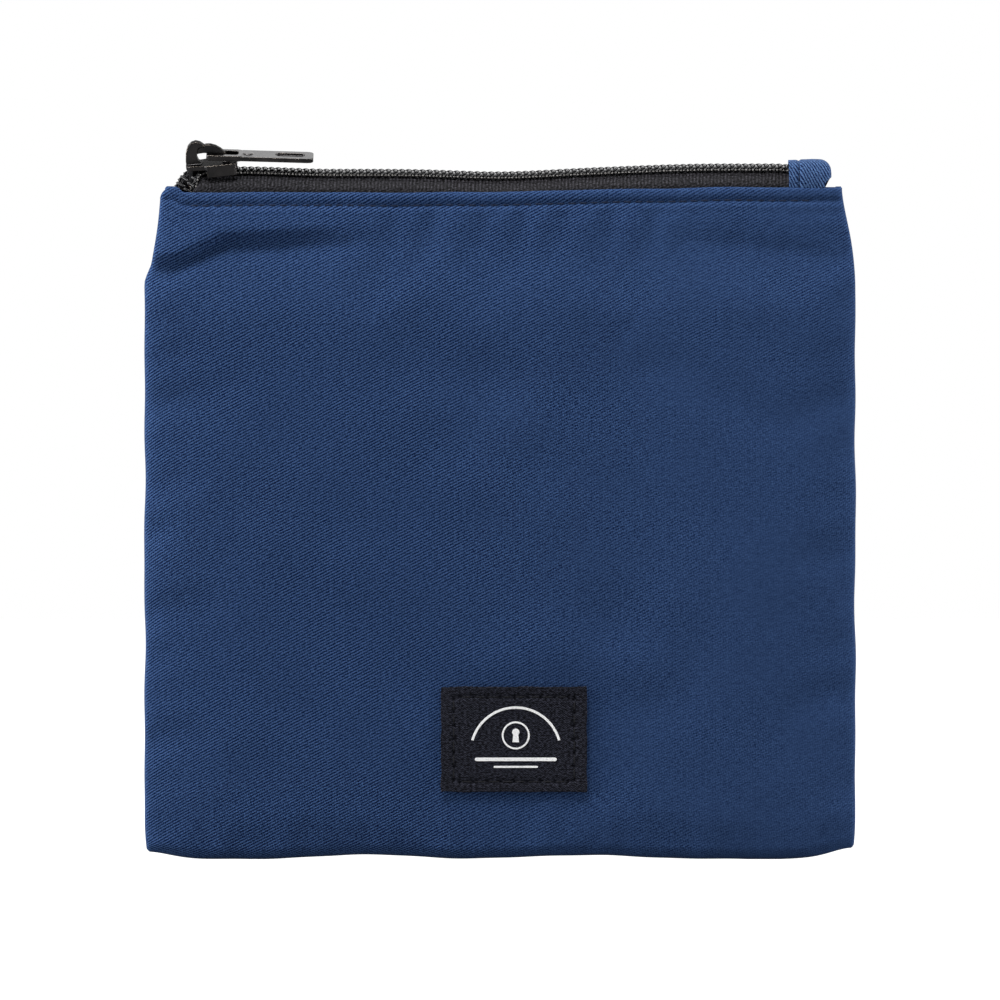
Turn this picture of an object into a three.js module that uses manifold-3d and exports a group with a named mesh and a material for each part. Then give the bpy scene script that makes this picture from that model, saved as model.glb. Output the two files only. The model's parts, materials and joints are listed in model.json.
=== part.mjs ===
// A small near-square cash deposit bag: two twill panels sewn together at the sides and the bottom,
// a loose lining, and a nylon coil zip across the mouth with a one-piece slider and a pull tab.
//
// Millimetres, +Z up, the front panel faces -Y. The origin is the middle of the bottom edge, in the
// plane where the two panels are sewn together. Soft pieces are thin closed sheets in layers; the
// gaps between layers keep the pieces apart.

import * as THREE from 'three';
import { mergeVertices } from 'three/addons/utils/BufferGeometryUtils.js';
import Module from 'manifold-3d';

const wasm = await Module();
wasm.setup();

// ---------------------------------------------------------------- driving dimensions

// bag body
const HALF_WIDTH = 80;
const TOP_NARROWING = 3.4;          // how much each side draws in at the mouth
const NARROWING_START_Z = 125;
const CORNER_RADIUS = 2;            // turned bottom corners
const BOTTOM_ROUNDING = 14;         // height over which the bottom seam opens to full depth
const TWILL = 0.5;
const LINING = 0.2;
const SEAM_HALF_GAP = 0.4;          // from the seam plane to the edge of each panel
const FRONT_FACE = 5.0;             // seam plane to the outer face of the front panel
const REAR_FACE = 5.75;
const MOUTH_FACE = 5.75;            // both panels stand this far out at the mouth
const FRONT_TOP_Z = 150.2;
const REAR_TOP_Z = 151.8;
const LINING_INSET = 1.3;           // lining's outer face, measured in from the panel's outer face
const LINING_BOTTOM_Z = 3;
const LINING_TOP_Z = 147;
const FLAT_MARGIN = 1.03;           // the crown is cut off flat at 1 / FLAT_MARGIN of its height

// zip, described in a frame rolled towards the front: s runs across the chain, n is its normal
const ROLL = THREE.MathUtils.degToRad(14);
const ZIP_Y = -0.3;
const ZIP_Z = 154;
const TAPE = 0.5;
const TAPE_HALF_LENGTH = 72.5;
const COIL_INNER_S = 0.15;
const COIL_OUTER_S = 3.0;
const COIL_BASE_N = 0.35;
const COIL_TOP_N = 2.0;
const COIL_WALL = 0.5;
const TAPE_FACE = 4.8;              // middle of the tape where it hangs down behind the panel

// slider
const SLIDER_X = -64.8;
const SLIDER_HALF_LENGTH = 5.8;
const SHOULDER_X = -0.9;            // the widest place, where the side walls start
const SHOULDER_S = 4.65;
const TAIL_S = 4.15;
const CHANNEL_S = 3.4;
const TOP_PLATE_N = 2.55;
const TOP_PLATE_THICKNESS = 1.15;
const BOTTOM_PLATE_N = -2.0;
const BOTTOM_PLATE_THICKNESS = 1.1;
const BOTTOM_PLATE_SCALE = 0.86;
const WALL_BOTTOM_N = 0.6;
const LOWER_WALL_TOP_N = -0.45;
const BRIDGE_HALF_WIDTH = 1.1;
const STRAND_SPREAD = 1.75;         // how far the divider pushes each strand aside
const SPREAD_LENGTH = 5;

// pull tab, measured from its pivot in the slider's bridge
const PIVOT_X = SLIDER_X - 0.8;
const PIVOT_N = 4.75;
const PULL_THICKNESS = 1.3;
const PULL_LENGTH = 23.5;
const PULL_HALF_WIDTH = 2.9;
const PULL_EYE_LENGTH = 6.9;
const PULL_EYE_HALF_WIDTH = 1.5;
const BEVEL = 0.2;

// fabric tab folded over the right end of the zip
const TAB_LEFT_X = 64.9;
const TAB_RIGHT_X = 74.3;
const TAB_STITCH_X = 67.5;

// woven label, low on the front panel
const LABEL_CENTRE_X = 3.15;
const LABEL_CENTRE_Z = 26.95;
const LABEL_WIDTH = 32.9;
const LABEL_HEIGHT = 23.7;
const LABEL_THICKNESS = 0.5;
const LABEL_STITCH_INSET = 2.6;

const THREAD_RADIUS = 0.15;
const SEAM_THREAD_RADIUS = 0.22;
const TOP_STITCH_DROP = 2.7;
const LAYER_GAP = 0.1;

const FRONT = -1;
const REAR = 1;

// ---------------------------------------------------------------- materials

function finish(color, roughness, metalness) {
  return new THREE.MeshStandardMaterial({ color, roughness, metalness });
}

const twillMaterial = () => finish(0x25395b, 0.85, 0);
const liningMaterial = () => finish(0x20242c, 0.8, 0);
const tapeMaterial = () => finish(0x343439, 0.8, 0);
const coilMaterial = () => finish(0x2c2c31, 0.35, 0);
const navyThreadMaterial = () => finish(0x1f3152, 0.6, 0);
const greyThreadMaterial = () => finish(0x6a6a70, 0.5, 0);
const labelMaterial = () => finish(0x1c1e28, 0.8, 0);
const metalMaterial = () => finish(0x1b1a1c, 0.35, 0.8);

// ---------------------------------------------------------------- helpers

function smoothstep(start, end, value) {
  return THREE.MathUtils.smoothstep(value, start, end);
}

/** Turns zip coordinates (s across, n normal) into [y, z]. */
function rolled(s, n) {
  const y = ZIP_Y + s * Math.cos(ROLL) - n * Math.sin(ROLL);
  const z = ZIP_Z + s * Math.sin(ROLL) + n * Math.cos(ROLL);
  return [y, z];
}

function geometryFrom(positions, triangles) {
  const geometry = new THREE.BufferGeometry();
  geometry.setAttribute('position', new THREE.Float32BufferAttribute(positions, 3));
  geometry.setIndex(triangles);
  geometry.computeVertexNormals();
  return geometry;
}

function signedVolume(positions, triangles) {
  const corner = (index) => new THREE.Vector3().fromArray(positions, index * 3);
  let volume = 0;
  for (let i = 0; i < triangles.length; i += 3) {
    const [a, b, c] = [corner(triangles[i]), corner(triangles[i + 1]), corner(triangles[i + 2])];
    volume += a.dot(b.cross(c)) / 6;
  }
  return volume;
}

/**
 * A closed solid lofted through stations. Each station is a band: an outer and an inner line with
 * the same number of points. The bands are joined along both lines, both edges and both ends.
 */
function bandSolid(stations) {
  const rows = stations.length;
  const columns = stations[0].outer.length;
  const lastRow = rows - 1;
  const lastColumn = columns - 1;
  const positions = stations.flatMap(({ outer, inner }) => [...outer.flat(), ...inner.flat()]);
  const outerAt = (row, column) => row * columns * 2 + column;
  const innerAt = (row, column) => outerAt(row, column) + columns;
  const triangles = [];
  const quad = (a, b, c, d) => triangles.push(a, b, c, a, c, d);

  for (let r = 0; r < lastRow; r++) {
    for (let c = 0; c < lastColumn; c++) {
      quad(outerAt(r, c), outerAt(r, c + 1), outerAt(r + 1, c + 1), outerAt(r + 1, c));
      quad(innerAt(r, c), innerAt(r + 1, c), innerAt(r + 1, c + 1), innerAt(r, c + 1));
    }
    quad(outerAt(r, 0), outerAt(r + 1, 0), innerAt(r + 1, 0), innerAt(r, 0));
    quad(outerAt(r, lastColumn), innerAt(r, lastColumn), innerAt(r + 1, lastColumn), outerAt(r + 1, lastColumn));
  }
  for (let c = 0; c < lastColumn; c++) {
    quad(outerAt(0, c), innerAt(0, c), innerAt(0, c + 1), outerAt(0, c + 1));
    quad(outerAt(lastRow, c), outerAt(lastRow, c + 1), innerAt(lastRow, c + 1), innerAt(lastRow, c));
  }
  if (signedVolume(positions, triangles) < 0) {
    triangles.reverse();
  }
  return geometryFrom(positions, triangles);
}

/** Shifts an open line of [y, z] points sideways by a distance. */
function offsetLine(points, distance) {
  return points.map((point, i) => {
    const before = points[Math.max(i - 1, 0)];
    const after = points[Math.min(i + 1, points.length - 1)];
    const along = new THREE.Vector2(after[0] - before[0], after[1] - before[1]).normalize();
    return [point[0] - along.y * distance, point[1] + along.x * distance];
  });
}

/** A sheet of even thickness whose [y, z] middle line is given at each x. */
function sheetAlongX(xs, lineAt, thickness) {
  return bandSolid(xs.map((x) => {
    const line = lineAt(x);
    const place = (points) => points.map(([y, z]) => [x, y, z]);
    return {
      outer: place(offsetLine(line, thickness / 2)),
      inner: place(offsetLine(line, -thickness / 2)),
    };
  }));
}

/** A round thread or cord along a straight or gently bent line of points. */
function thread(points, radius) {
  const section = new THREE.Shape();
  section.absarc(0, 0, radius, 0, 2 * Math.PI);
  const path = new THREE.CatmullRomCurve3(points.map((point) => new THREE.Vector3(...point)));
  return new THREE.ExtrudeGeometry(section, {
    steps: points.length * 2,
    curveSegments: 4,
    bevelEnabled: false,
    extrudePath: path,
  });
}

function closedShape(points) {
  return new THREE.Shape(points.map(([x, y]) => new THREE.Vector2(x, y)));
}

/** Extrudes a shape from z = bottom up by height. */
function plate(shape, bottom, height) {
  const geometry = new THREE.ExtrudeGeometry(shape, { depth: height, bevelEnabled: false });
  geometry.translate(0, 0, bottom);
  return geometry;
}

function toSolid(geometry) {
  const bare = geometry.clone();
  bare.deleteAttribute('normal');
  bare.deleteAttribute('uv');
  const merged = mergeVertices(bare, 1e-4);
  return new wasm.Manifold(new wasm.Mesh({
    numProp: 3,
    vertProperties: new Float32Array(merged.attributes.position.array),
    triVerts: new Uint32Array(merged.index.array),
  }));
}

function fromSolid(solid) {
  const mesh = solid.getMesh();
  return geometryFrom(Array.from(mesh.vertProperties), Array.from(mesh.triVerts));
}

function named(name, geometry, material) {
  const mesh = new THREE.Mesh(geometry, material);
  mesh.name = name;
  return mesh;
}

// ---------------------------------------------------------------- bag body

function halfWidthAt(z) {
  const narrowing = TOP_NARROWING * smoothstep(NARROWING_START_Z, FRONT_TOP_Z, z);
  const below = Math.max(CORNER_RADIUS - z, 0);
  const corner = CORNER_RADIUS - Math.sqrt(CORNER_RADIUS ** 2 - below ** 2);
  return HALF_WIDTH - narrowing - corner;
}

/** Distance from the seam plane to a panel's outer face, away from the side seams. */
function faceAt(side, z) {
  const face = side === FRONT ? FRONT_FACE : REAR_FACE;
  return face + (MOUTH_FACE - face) * smoothstep(110, 145, z);
}

/** How far the rounded bottom has opened at a height, from 0 at the seam to 1. */
function bottomRise(z) {
  const below = Math.max(1 - z / BOTTOM_ROUNDING, 0);
  return Math.pow(1 - Math.pow(below, 2.2), 1 / 2.2);
}

/** The line across one panel at a height, a given distance inside the panel's outer face. */
function layerLine(side, z, inset) {
  const columns = 28;
  const squareness = 4 + 10 * smoothstep(100, FRONT_TOP_Z, z);
  const halfWidth = halfWidthAt(z) - inset;
  const fullDepth = (faceAt(side, z) - SEAM_HALF_GAP) * bottomRise(z);
  const depth = Math.max(fullDepth, TWILL + 0.05) - inset;
  const line = [];
  for (let i = 0; i <= columns; i++) {
    const across = -Math.cos(Math.PI * i / columns);
    const crown = Math.pow(Math.max(1 - Math.pow(Math.abs(across), squareness), 0), 1 / squareness);
    const y = SEAM_HALF_GAP + Math.min(depth, depth * FLAT_MARGIN * crown);
    line.push([halfWidth * across, side * y, z]);
  }
  return line;
}

function layer(side, heights, inset, thickness) {
  return bandSolid(heights.map((z) => ({
    outer: layerLine(side, z, inset),
    inner: layerLine(side, z, inset + thickness),
  })));
}

function panel(side) {
  const top = side === FRONT ? FRONT_TOP_Z : REAR_TOP_Z;
  const heights = [0, 0.5, 1, 2, 4, 7, 10, BOTTOM_ROUNDING, 40, 70, 100, 110, 120, 128, 135, 142, 146, top];
  return layer(side, heights, 0, TWILL);
}

function lining(side) {
  const heights = [LINING_BOTTOM_Z, 5, 8, BOTTOM_ROUNDING, 60, 100, 112, 124, 136, LINING_TOP_Z];
  return layer(side, heights, LINING_INSET, LINING);
}

function sideSeam(direction) {
  const heights = [2.5, 50, 100, 120, NARROWING_START_Z, 130, 135, 140, 144, 148];
  const points = heights.map((z) => [direction * (halfWidthAt(z) - TWILL / 2), 0, z]);
  return thread(points, SEAM_THREAD_RADIUS);
}

function bottomSeam() {
  const reach = HALF_WIDTH - 3;
  return thread([[-reach, 0, 0.4], [0, 0, 0.4], [reach, 0, 0.4]], SEAM_THREAD_RADIUS);
}

function topStitch(side) {
  const reach = 70.5;
  const y = side * (MOUTH_FACE + LAYER_GAP + THREAD_RADIUS);
  const z = (side === FRONT ? FRONT_TOP_Z : REAR_TOP_Z) - TOP_STITCH_DROP;
  return thread([[-reach, y, z], [0, y, z], [reach, y, z]], THREAD_RADIUS);
}

// ---------------------------------------------------------------- zip

/** How far a strand stands off the closed chain at x: zero along the chain, wide at the slider's head. */
function strandSpread(x) {
  return STRAND_SPREAD * smoothstep(0, 1, (SLIDER_X - x) / SPREAD_LENGTH);
}

/** The strands dip into the corner beyond the slider. */
function strandDrop(x) {
  const beyond = Math.max(SLIDER_X - SLIDER_HALF_LENGTH - LAYER_GAP - x, 0);
  return 0.4 * beyond ** 2;
}

function chainStations() {
  return [-TAPE_HALF_LENGTH, -71.6, -70.7, -69.8, -68.5, -67.3, -66, SLIDER_X, 0, TAPE_HALF_LENGTH];
}

function zipTape(side) {
  const dropped = (x, point) => [point[0], point[1] - strandDrop(x)];
  const lineAt = (x) => {
    const spread = strandSpread(x);
    const onPlane = [COIL_INNER_S + LAYER_GAP + spread, 2.6 + 0.6 * spread, 4.3];
    const bent = side === FRONT
      ? [[-TAPE_FACE, 152.2], [-TAPE_FACE, 149], [-TAPE_FACE, 141]]
      : [[4.6, 154.4], [TAPE_FACE, 153.4], [TAPE_FACE, 142.5]];
    return [...onPlane.map((s) => rolled(side * s, 0)), ...bent].map((point) => dropped(x, point));
  };
  return sheetAlongX(chainStations(), lineAt, TAPE);
}

/** A strand of constant section, given as outer and inner lines of [s, n], that follows the chain. */
function strand(side, outerLine, innerLine) {
  return bandSolid(chainStations().map((x) => {
    const place = (line) => line.map(([s, n]) => {
      const [y, z] = rolled(side * (s + strandSpread(x)), n);
      return [x, y, z - strandDrop(x)];
    });
    return { outer: place(outerLine), inner: place(innerLine) };
  }));
}

/** One row of the nylon coil, as the hollow bar that its turns fill. */
function coil(side) {
  const shoulder = 0.4;
  const outer = [
    [COIL_INNER_S, COIL_BASE_N],
    [COIL_INNER_S, COIL_TOP_N - shoulder],
    [COIL_INNER_S + shoulder, COIL_TOP_N],
    [COIL_OUTER_S - shoulder, COIL_TOP_N],
    [COIL_OUTER_S, COIL_TOP_N - shoulder],
    [COIL_OUTER_S, COIL_BASE_N],
  ];
  const inner = [
    [COIL_INNER_S + COIL_WALL, COIL_BASE_N],
    [COIL_INNER_S + COIL_WALL, COIL_TOP_N - COIL_WALL - 0.1],
    [COIL_INNER_S + COIL_WALL + 0.1, COIL_TOP_N - COIL_WALL],
    [COIL_OUTER_S - COIL_WALL - 0.1, COIL_TOP_N - COIL_WALL],
    [COIL_OUTER_S - COIL_WALL, COIL_TOP_N - COIL_WALL - 0.1],
    [COIL_OUTER_S - COIL_WALL, COIL_BASE_N],
  ];
  return strand(side, outer, inner);
}

/** The filler cord that runs through the turns of one coil. */
function coilCord(side) {
  return strand(side, [[0.9, 1.35], [2.25, 1.35]], [[0.9, 0.45], [2.25, 0.45]]);
}

/** The sewing thread that holds one coil down on its tape. */
function coilThread(side) {
  const bottom = COIL_TOP_N + LAYER_GAP;
  const top = bottom + 0.15;
  return strand(side, [[1.4, top], [1.7, top]], [[1.4, bottom], [1.7, bottom]]);
}

// ---------------------------------------------------------------- slider and pull

/** Half of a plate's outline from the head to the tail, mirrored to the other side. */
function plateOutline(scale) {
  const half = [
    [-SLIDER_HALF_LENGTH, 2.4],
    [-5.4, 3.5],
    [-4.7, 4.0],
    [SHOULDER_X, SHOULDER_S],
    [4.9, TAIL_S],
    [5.5, 3.7],
    [SLIDER_HALF_LENGTH, 3.0],
  ].map(([x, s]) => [x, s * scale]);
  const other = half.map(([x, s]) => [x, -s]).reverse();
  return closedShape([...half, ...other]);
}

function sideWall(direction, outerScale) {
  return closedShape([
    [SHOULDER_X, direction * CHANNEL_S],
    [SHOULDER_X, direction * SHOULDER_S * outerScale],
    [4.9, direction * TAIL_S * outerScale],
    [4.9, direction * Math.min(CHANNEL_S, TAIL_S * outerScale - 0.1)],
  ]);
}

function divider() {
  return closedShape([[-5.2, -0.8], [-5.2, 0.8], [-4.5, 1.2], [-1.2, 0.1], [-1.2, -0.1], [-4.5, -1.2]]);
}

/** The arch that holds the pull, drawn from the side and pressed out across the slider. */
function bridge() {
  const arch = closedShape([
    [-5.7, 3.4], [-5.7, 6.0], [-5.2, 7.5], [-4.3, 8.3], [-1.5, 8.3], [0.6, 7.5], [2.8, 6.1], [4.1, 4.8], [4.6, 3.4],
  ]);
  const opening = closedShape([
    [-3.4, 3.0], [-3.4, 5.6], [-2.8, 6.6], [-1.8, 6.9], [-0.6, 6.7], [1.2, 5.8], [2.2, 5.0], [2.9, 3.0],
  ]);
  const across = (shape, halfWidth) => {
    const geometry = plate(shape, -halfWidth, 2 * halfWidth);
    geometry.rotateX(Math.PI / 2);
    return toSolid(geometry);
  };
  return across(arch, BRIDGE_HALF_WIDTH).subtract(across(opening, BRIDGE_HALF_WIDTH + 1));
}

function sliderBody() {
  const overlap = 0.1;
  const bottomPlateTop = BOTTOM_PLATE_N + BOTTOM_PLATE_THICKNESS;
  const pieces = [
    plate(plateOutline(1), TOP_PLATE_N, TOP_PLATE_THICKNESS),
    plate(plateOutline(BOTTOM_PLATE_SCALE), BOTTOM_PLATE_N, BOTTOM_PLATE_THICKNESS),
    plate(divider(), bottomPlateTop - overlap, TOP_PLATE_N - bottomPlateTop + 2 * overlap),
  ];
  for (const direction of [-1, 1]) {
    pieces.push(plate(sideWall(direction, 1), WALL_BOTTOM_N, TOP_PLATE_N - WALL_BOTTOM_N + overlap));
    const lowerWallBase = bottomPlateTop - overlap;
    const lowerWall = sideWall(direction, BOTTOM_PLATE_SCALE);
    pieces.push(plate(lowerWall, lowerWallBase, LOWER_WALL_TOP_N - lowerWallBase));
  }
  const body = pieces.map(toSolid).reduce((whole, piece) => whole.add(piece));
  return fromSolid(body.add(bridge()));
}

function pullTab() {
  const bar = PULL_THICKNESS / 2;
  const outline = new THREE.Shape();
  outline.moveTo(-bar + 1.0, -PULL_HALF_WIDTH);
  outline.lineTo(PULL_LENGTH - PULL_HALF_WIDTH, -PULL_HALF_WIDTH);
  outline.absarc(PULL_LENGTH - PULL_HALF_WIDTH, 0, PULL_HALF_WIDTH, -Math.PI / 2, Math.PI / 2);
  outline.lineTo(-bar + 1.0, PULL_HALF_WIDTH);
  outline.absarc(-bar + 1.0, PULL_HALF_WIDTH - 1.0, 1.0, Math.PI / 2, Math.PI);
  outline.lineTo(-bar, -PULL_HALF_WIDTH + 1.0);
  outline.absarc(-bar + 1.0, -PULL_HALF_WIDTH + 1.0, 1.0, Math.PI, 1.5 * Math.PI);
  const eye = new THREE.Path();
  const eyeRadius = PULL_EYE_HALF_WIDTH - 0.1;
  eye.moveTo(bar, -PULL_EYE_HALF_WIDTH);
  eye.lineTo(bar, PULL_EYE_HALF_WIDTH);
  eye.lineTo(PULL_EYE_LENGTH - eyeRadius, PULL_EYE_HALF_WIDTH);
  eye.absarc(PULL_EYE_LENGTH - eyeRadius, 0, PULL_EYE_HALF_WIDTH, Math.PI / 2, -Math.PI / 2, true);
  outline.holes.push(eye);
  const geometry = new THREE.ExtrudeGeometry(outline, {
    depth: PULL_THICKNESS - 2 * BEVEL,
    curveSegments: 8,
    bevelThickness: BEVEL,
    bevelSize: BEVEL,
    bevelOffset: -BEVEL,
    bevelSegments: 1,
  });
  geometry.translate(0, 0, BEVEL - PULL_THICKNESS / 2);
  return geometry;
}

// ---------------------------------------------------------------- end tab and label

function endTab() {
  const front = MOUTH_FACE - 0.05;
  const inside = front - 0.55;
  const outer = [
    [-front, 150.4], [-front, 153.5], rolled(-4.3, 2.6), rolled(-3.4, 2.95),
    rolled(3.2, 2.95), rolled(4.3, 2.6), [front, 154.9], [front, 152.0],
  ];
  const inner = [
    [-inside, 150.4], [-inside, 153.3], rolled(-3.9, 2.1), rolled(-3.3, 2.4),
    rolled(3.1, 2.4), rolled(3.9, 2.1), [inside, 154.7], [inside, 152.0],
  ];
  return bandSolid([TAB_LEFT_X, TAB_RIGHT_X].map((x) => ({
    outer: outer.map(([y, z]) => [x, y, z]),
    inner: inner.map(([y, z]) => [x, y, z]),
  })));
}

function endTabStitch() {
  const y = -(MOUTH_FACE + LAYER_GAP + THREAD_RADIUS);
  return thread([[TAB_STITCH_X, y, 150.8], [TAB_STITCH_X, y, 152], [TAB_STITCH_X, y, 153.2]], THREAD_RADIUS);
}

function label() {
  const geometry = new THREE.BoxGeometry(LABEL_WIDTH, LABEL_THICKNESS, LABEL_HEIGHT);
  const y = -(FRONT_FACE + LAYER_GAP / 2 + LABEL_THICKNESS / 2);
  geometry.translate(LABEL_CENTRE_X, y, LABEL_CENTRE_Z);
  return geometry;
}

/** The closed rectangle of thread that sews the label on. */
function labelStitch() {
  const halfWidth = LABEL_WIDTH / 2 - LABEL_STITCH_INSET;
  const halfHeight = LABEL_HEIGHT / 2 - LABEL_STITCH_INSET;
  const rectangle = (grow) => [
    [-halfWidth - grow, -halfHeight - grow], [halfWidth + grow, -halfHeight - grow],
    [halfWidth + grow, halfHeight + grow], [-halfWidth - grow, halfHeight + grow],
  ];
  const frame = closedShape(rectangle(THREAD_RADIUS));
  frame.holes.push(closedShape(rectangle(-THREAD_RADIUS)));
  const thickness = 2 * THREAD_RADIUS;
  const geometry = plate(frame, 0, thickness);
  geometry.rotateX(Math.PI / 2);
  const y = -(FRONT_FACE + LABEL_THICKNESS + LAYER_GAP);
  geometry.translate(LABEL_CENTRE_X, y, LABEL_CENTRE_Z);
  return geometry;
}

// ---------------------------------------------------------------- assembly

const bag = new THREE.Group();
for (const [prefix, side] of [['rear', REAR], ['front', FRONT]]) {
  bag.add(
    named(`${prefix}_panel`, panel(side), twillMaterial()),
    named(`${prefix}_lining`, lining(side), liningMaterial()),
    named(`${prefix}_zip_tape`, zipTape(side), tapeMaterial()),
    named(`${prefix}_zip_coil`, coil(side), coilMaterial()),
    named(`${prefix}_coil_cord`, coilCord(side), greyThreadMaterial()),
    named(`${prefix}_coil_thread`, coilThread(side), greyThreadMaterial()),
    named(`${prefix}_top_stitch`, topStitch(side), navyThreadMaterial()),
  );
}
bag.add(
  named('left_side_seam', sideSeam(-1), navyThreadMaterial()),
  named('right_side_seam', sideSeam(1), navyThreadMaterial()),
  named('bottom_seam', bottomSeam(), navyThreadMaterial()),
  named('end_tab', endTab(), twillMaterial()),
  named('end_tab_stitch', endTabStitch(), navyThreadMaterial()),
  named('label', label(), labelMaterial()),
  named('label_stitch', labelStitch(), labelMaterial()),
);

// the slider and the pull are placed in the rolled frame of the chain
const zipFrame = new THREE.Group();
zipFrame.position.set(0, ZIP_Y, ZIP_Z);
zipFrame.rotation.x = ROLL;
const slider = named('slider_body', sliderBody(), metalMaterial());
slider.position.x = SLIDER_X;
const pull = named('pull_tab', pullTab(), metalMaterial());
pull.position.set(PIVOT_X, 0, PIVOT_N);
zipFrame.add(slider, pull);
bag.add(zipFrame);

export default bag;
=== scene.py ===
# A small twill cash deposit bag with a coil zip: its looks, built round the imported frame.
#
# Shapes are worked out in millimetres and turned into metres when a mesh is made. X runs along the zip,
# -Y is the front, +Z is up. s and n are the zip's own directions: s across the chain, n out of it.

import json
import math

import bmesh
import bpy
import numpy as np
from mathutils import Matrix, Vector
from mathutils.bvhtree import BVHTree


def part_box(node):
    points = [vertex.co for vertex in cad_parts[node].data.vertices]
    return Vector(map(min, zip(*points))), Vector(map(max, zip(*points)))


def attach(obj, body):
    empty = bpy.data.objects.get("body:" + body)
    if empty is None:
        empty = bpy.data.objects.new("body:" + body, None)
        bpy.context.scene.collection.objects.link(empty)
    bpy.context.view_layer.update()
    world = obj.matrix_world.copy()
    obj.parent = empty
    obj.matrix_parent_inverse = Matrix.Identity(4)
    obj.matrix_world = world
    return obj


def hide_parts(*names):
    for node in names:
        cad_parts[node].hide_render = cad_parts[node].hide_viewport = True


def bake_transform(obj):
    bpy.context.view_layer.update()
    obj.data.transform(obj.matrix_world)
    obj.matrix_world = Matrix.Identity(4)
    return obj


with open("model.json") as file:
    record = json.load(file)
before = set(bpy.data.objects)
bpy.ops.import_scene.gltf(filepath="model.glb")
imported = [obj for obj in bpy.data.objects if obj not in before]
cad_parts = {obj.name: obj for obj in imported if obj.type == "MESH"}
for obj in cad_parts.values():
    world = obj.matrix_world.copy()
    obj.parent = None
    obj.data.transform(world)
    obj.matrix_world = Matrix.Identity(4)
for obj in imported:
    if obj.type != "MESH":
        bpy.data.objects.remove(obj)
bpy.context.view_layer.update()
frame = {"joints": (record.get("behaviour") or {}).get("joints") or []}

MM = 0.001
FRONT = -1
REAR = 1
SIDE_NAME = {FRONT: "front", REAR: "rear"}


def box_mm(node):
    low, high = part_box(node)
    return low / MM, high / MM


# ---------------------------------------------------------------- sizes, from the frame

panel_low, panel_high = box_mm("front_panel")
_, rear_high = box_mm("rear_panel")
label_low, label_high = box_mm("label")
tab_low, tab_high = box_mm("end_tab")
slider_low, slider_high = box_mm("slider_body")
_, pull_high = box_mm("pull_tab")
stitch_low, stitch_high = box_mm("front_top_stitch")

joints = {joint["name"]: joint for joint in frame["joints"]}
pull_joint = joints["pull_swing"]
pull_pivot = np.array(pull_joint["pos_m"]) / MM
across_axis = -np.array(pull_joint["axis"])
chain_normal = np.array([0.0, -across_axis[2], across_axis[1]])
PIVOT_N = 4.75
chain_origin = pull_pivot - PIVOT_N * chain_normal
SLIDER_X = (slider_low.x + slider_high.x) / 2
PIVOT_X = pull_pivot[0]

HALF_WIDTH = panel_high.x
FRONT_TOP = panel_high.z
REAR_TOP = rear_high.z
MOUTH_DEPTH = rear_high.y
FAR_OUT = 60  # clear of the bag, where rays towards it start
TWILL = 0.5  # thickness of the cloth
SEAM_GAP = 0.3  # seam plane to the middle of each cloth
SEAM_INSET = 1.6  # edge of the bag to the seam's stitches
SEAM_THREAD_RADIUS = 0.15
STITCH_DROP = 2.7  # top edge to the top stitching
STITCH_PITCH = 2.5

COIL_PITCH = 1.55
COIL_WIRE = 0.34  # radius of the nylon
COIL_TOP_N = 1.55
COIL_THREAD_RADIUS = 0.17
CORD_RADIUS = 0.25
TAPE = 0.5  # thickness of the tape


# ---------------------------------------------------------------- small numeric helpers

def smooth(start, end, value):
    t = np.clip((np.asarray(value, float) - start) / (end - start), 0, 1)
    return t * t * (3 - 2 * t)


def bump(centre, width, value):
    return np.exp(-(((np.asarray(value, float) - centre) / width) ** 2))


def waves(value, periods, seed):
    """A smooth irregular wave between about -1 and 1, the same on every run."""
    phases = np.random.default_rng(seed).uniform(0, 2 * np.pi, len(periods))
    value = np.asarray(value, float)
    parts = [np.sin(2 * np.pi * value / p + phase) for p, phase in zip(periods, phases)]
    return sum(parts) / len(periods)


# ---------------------------------------------------------------- mesh building

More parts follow.
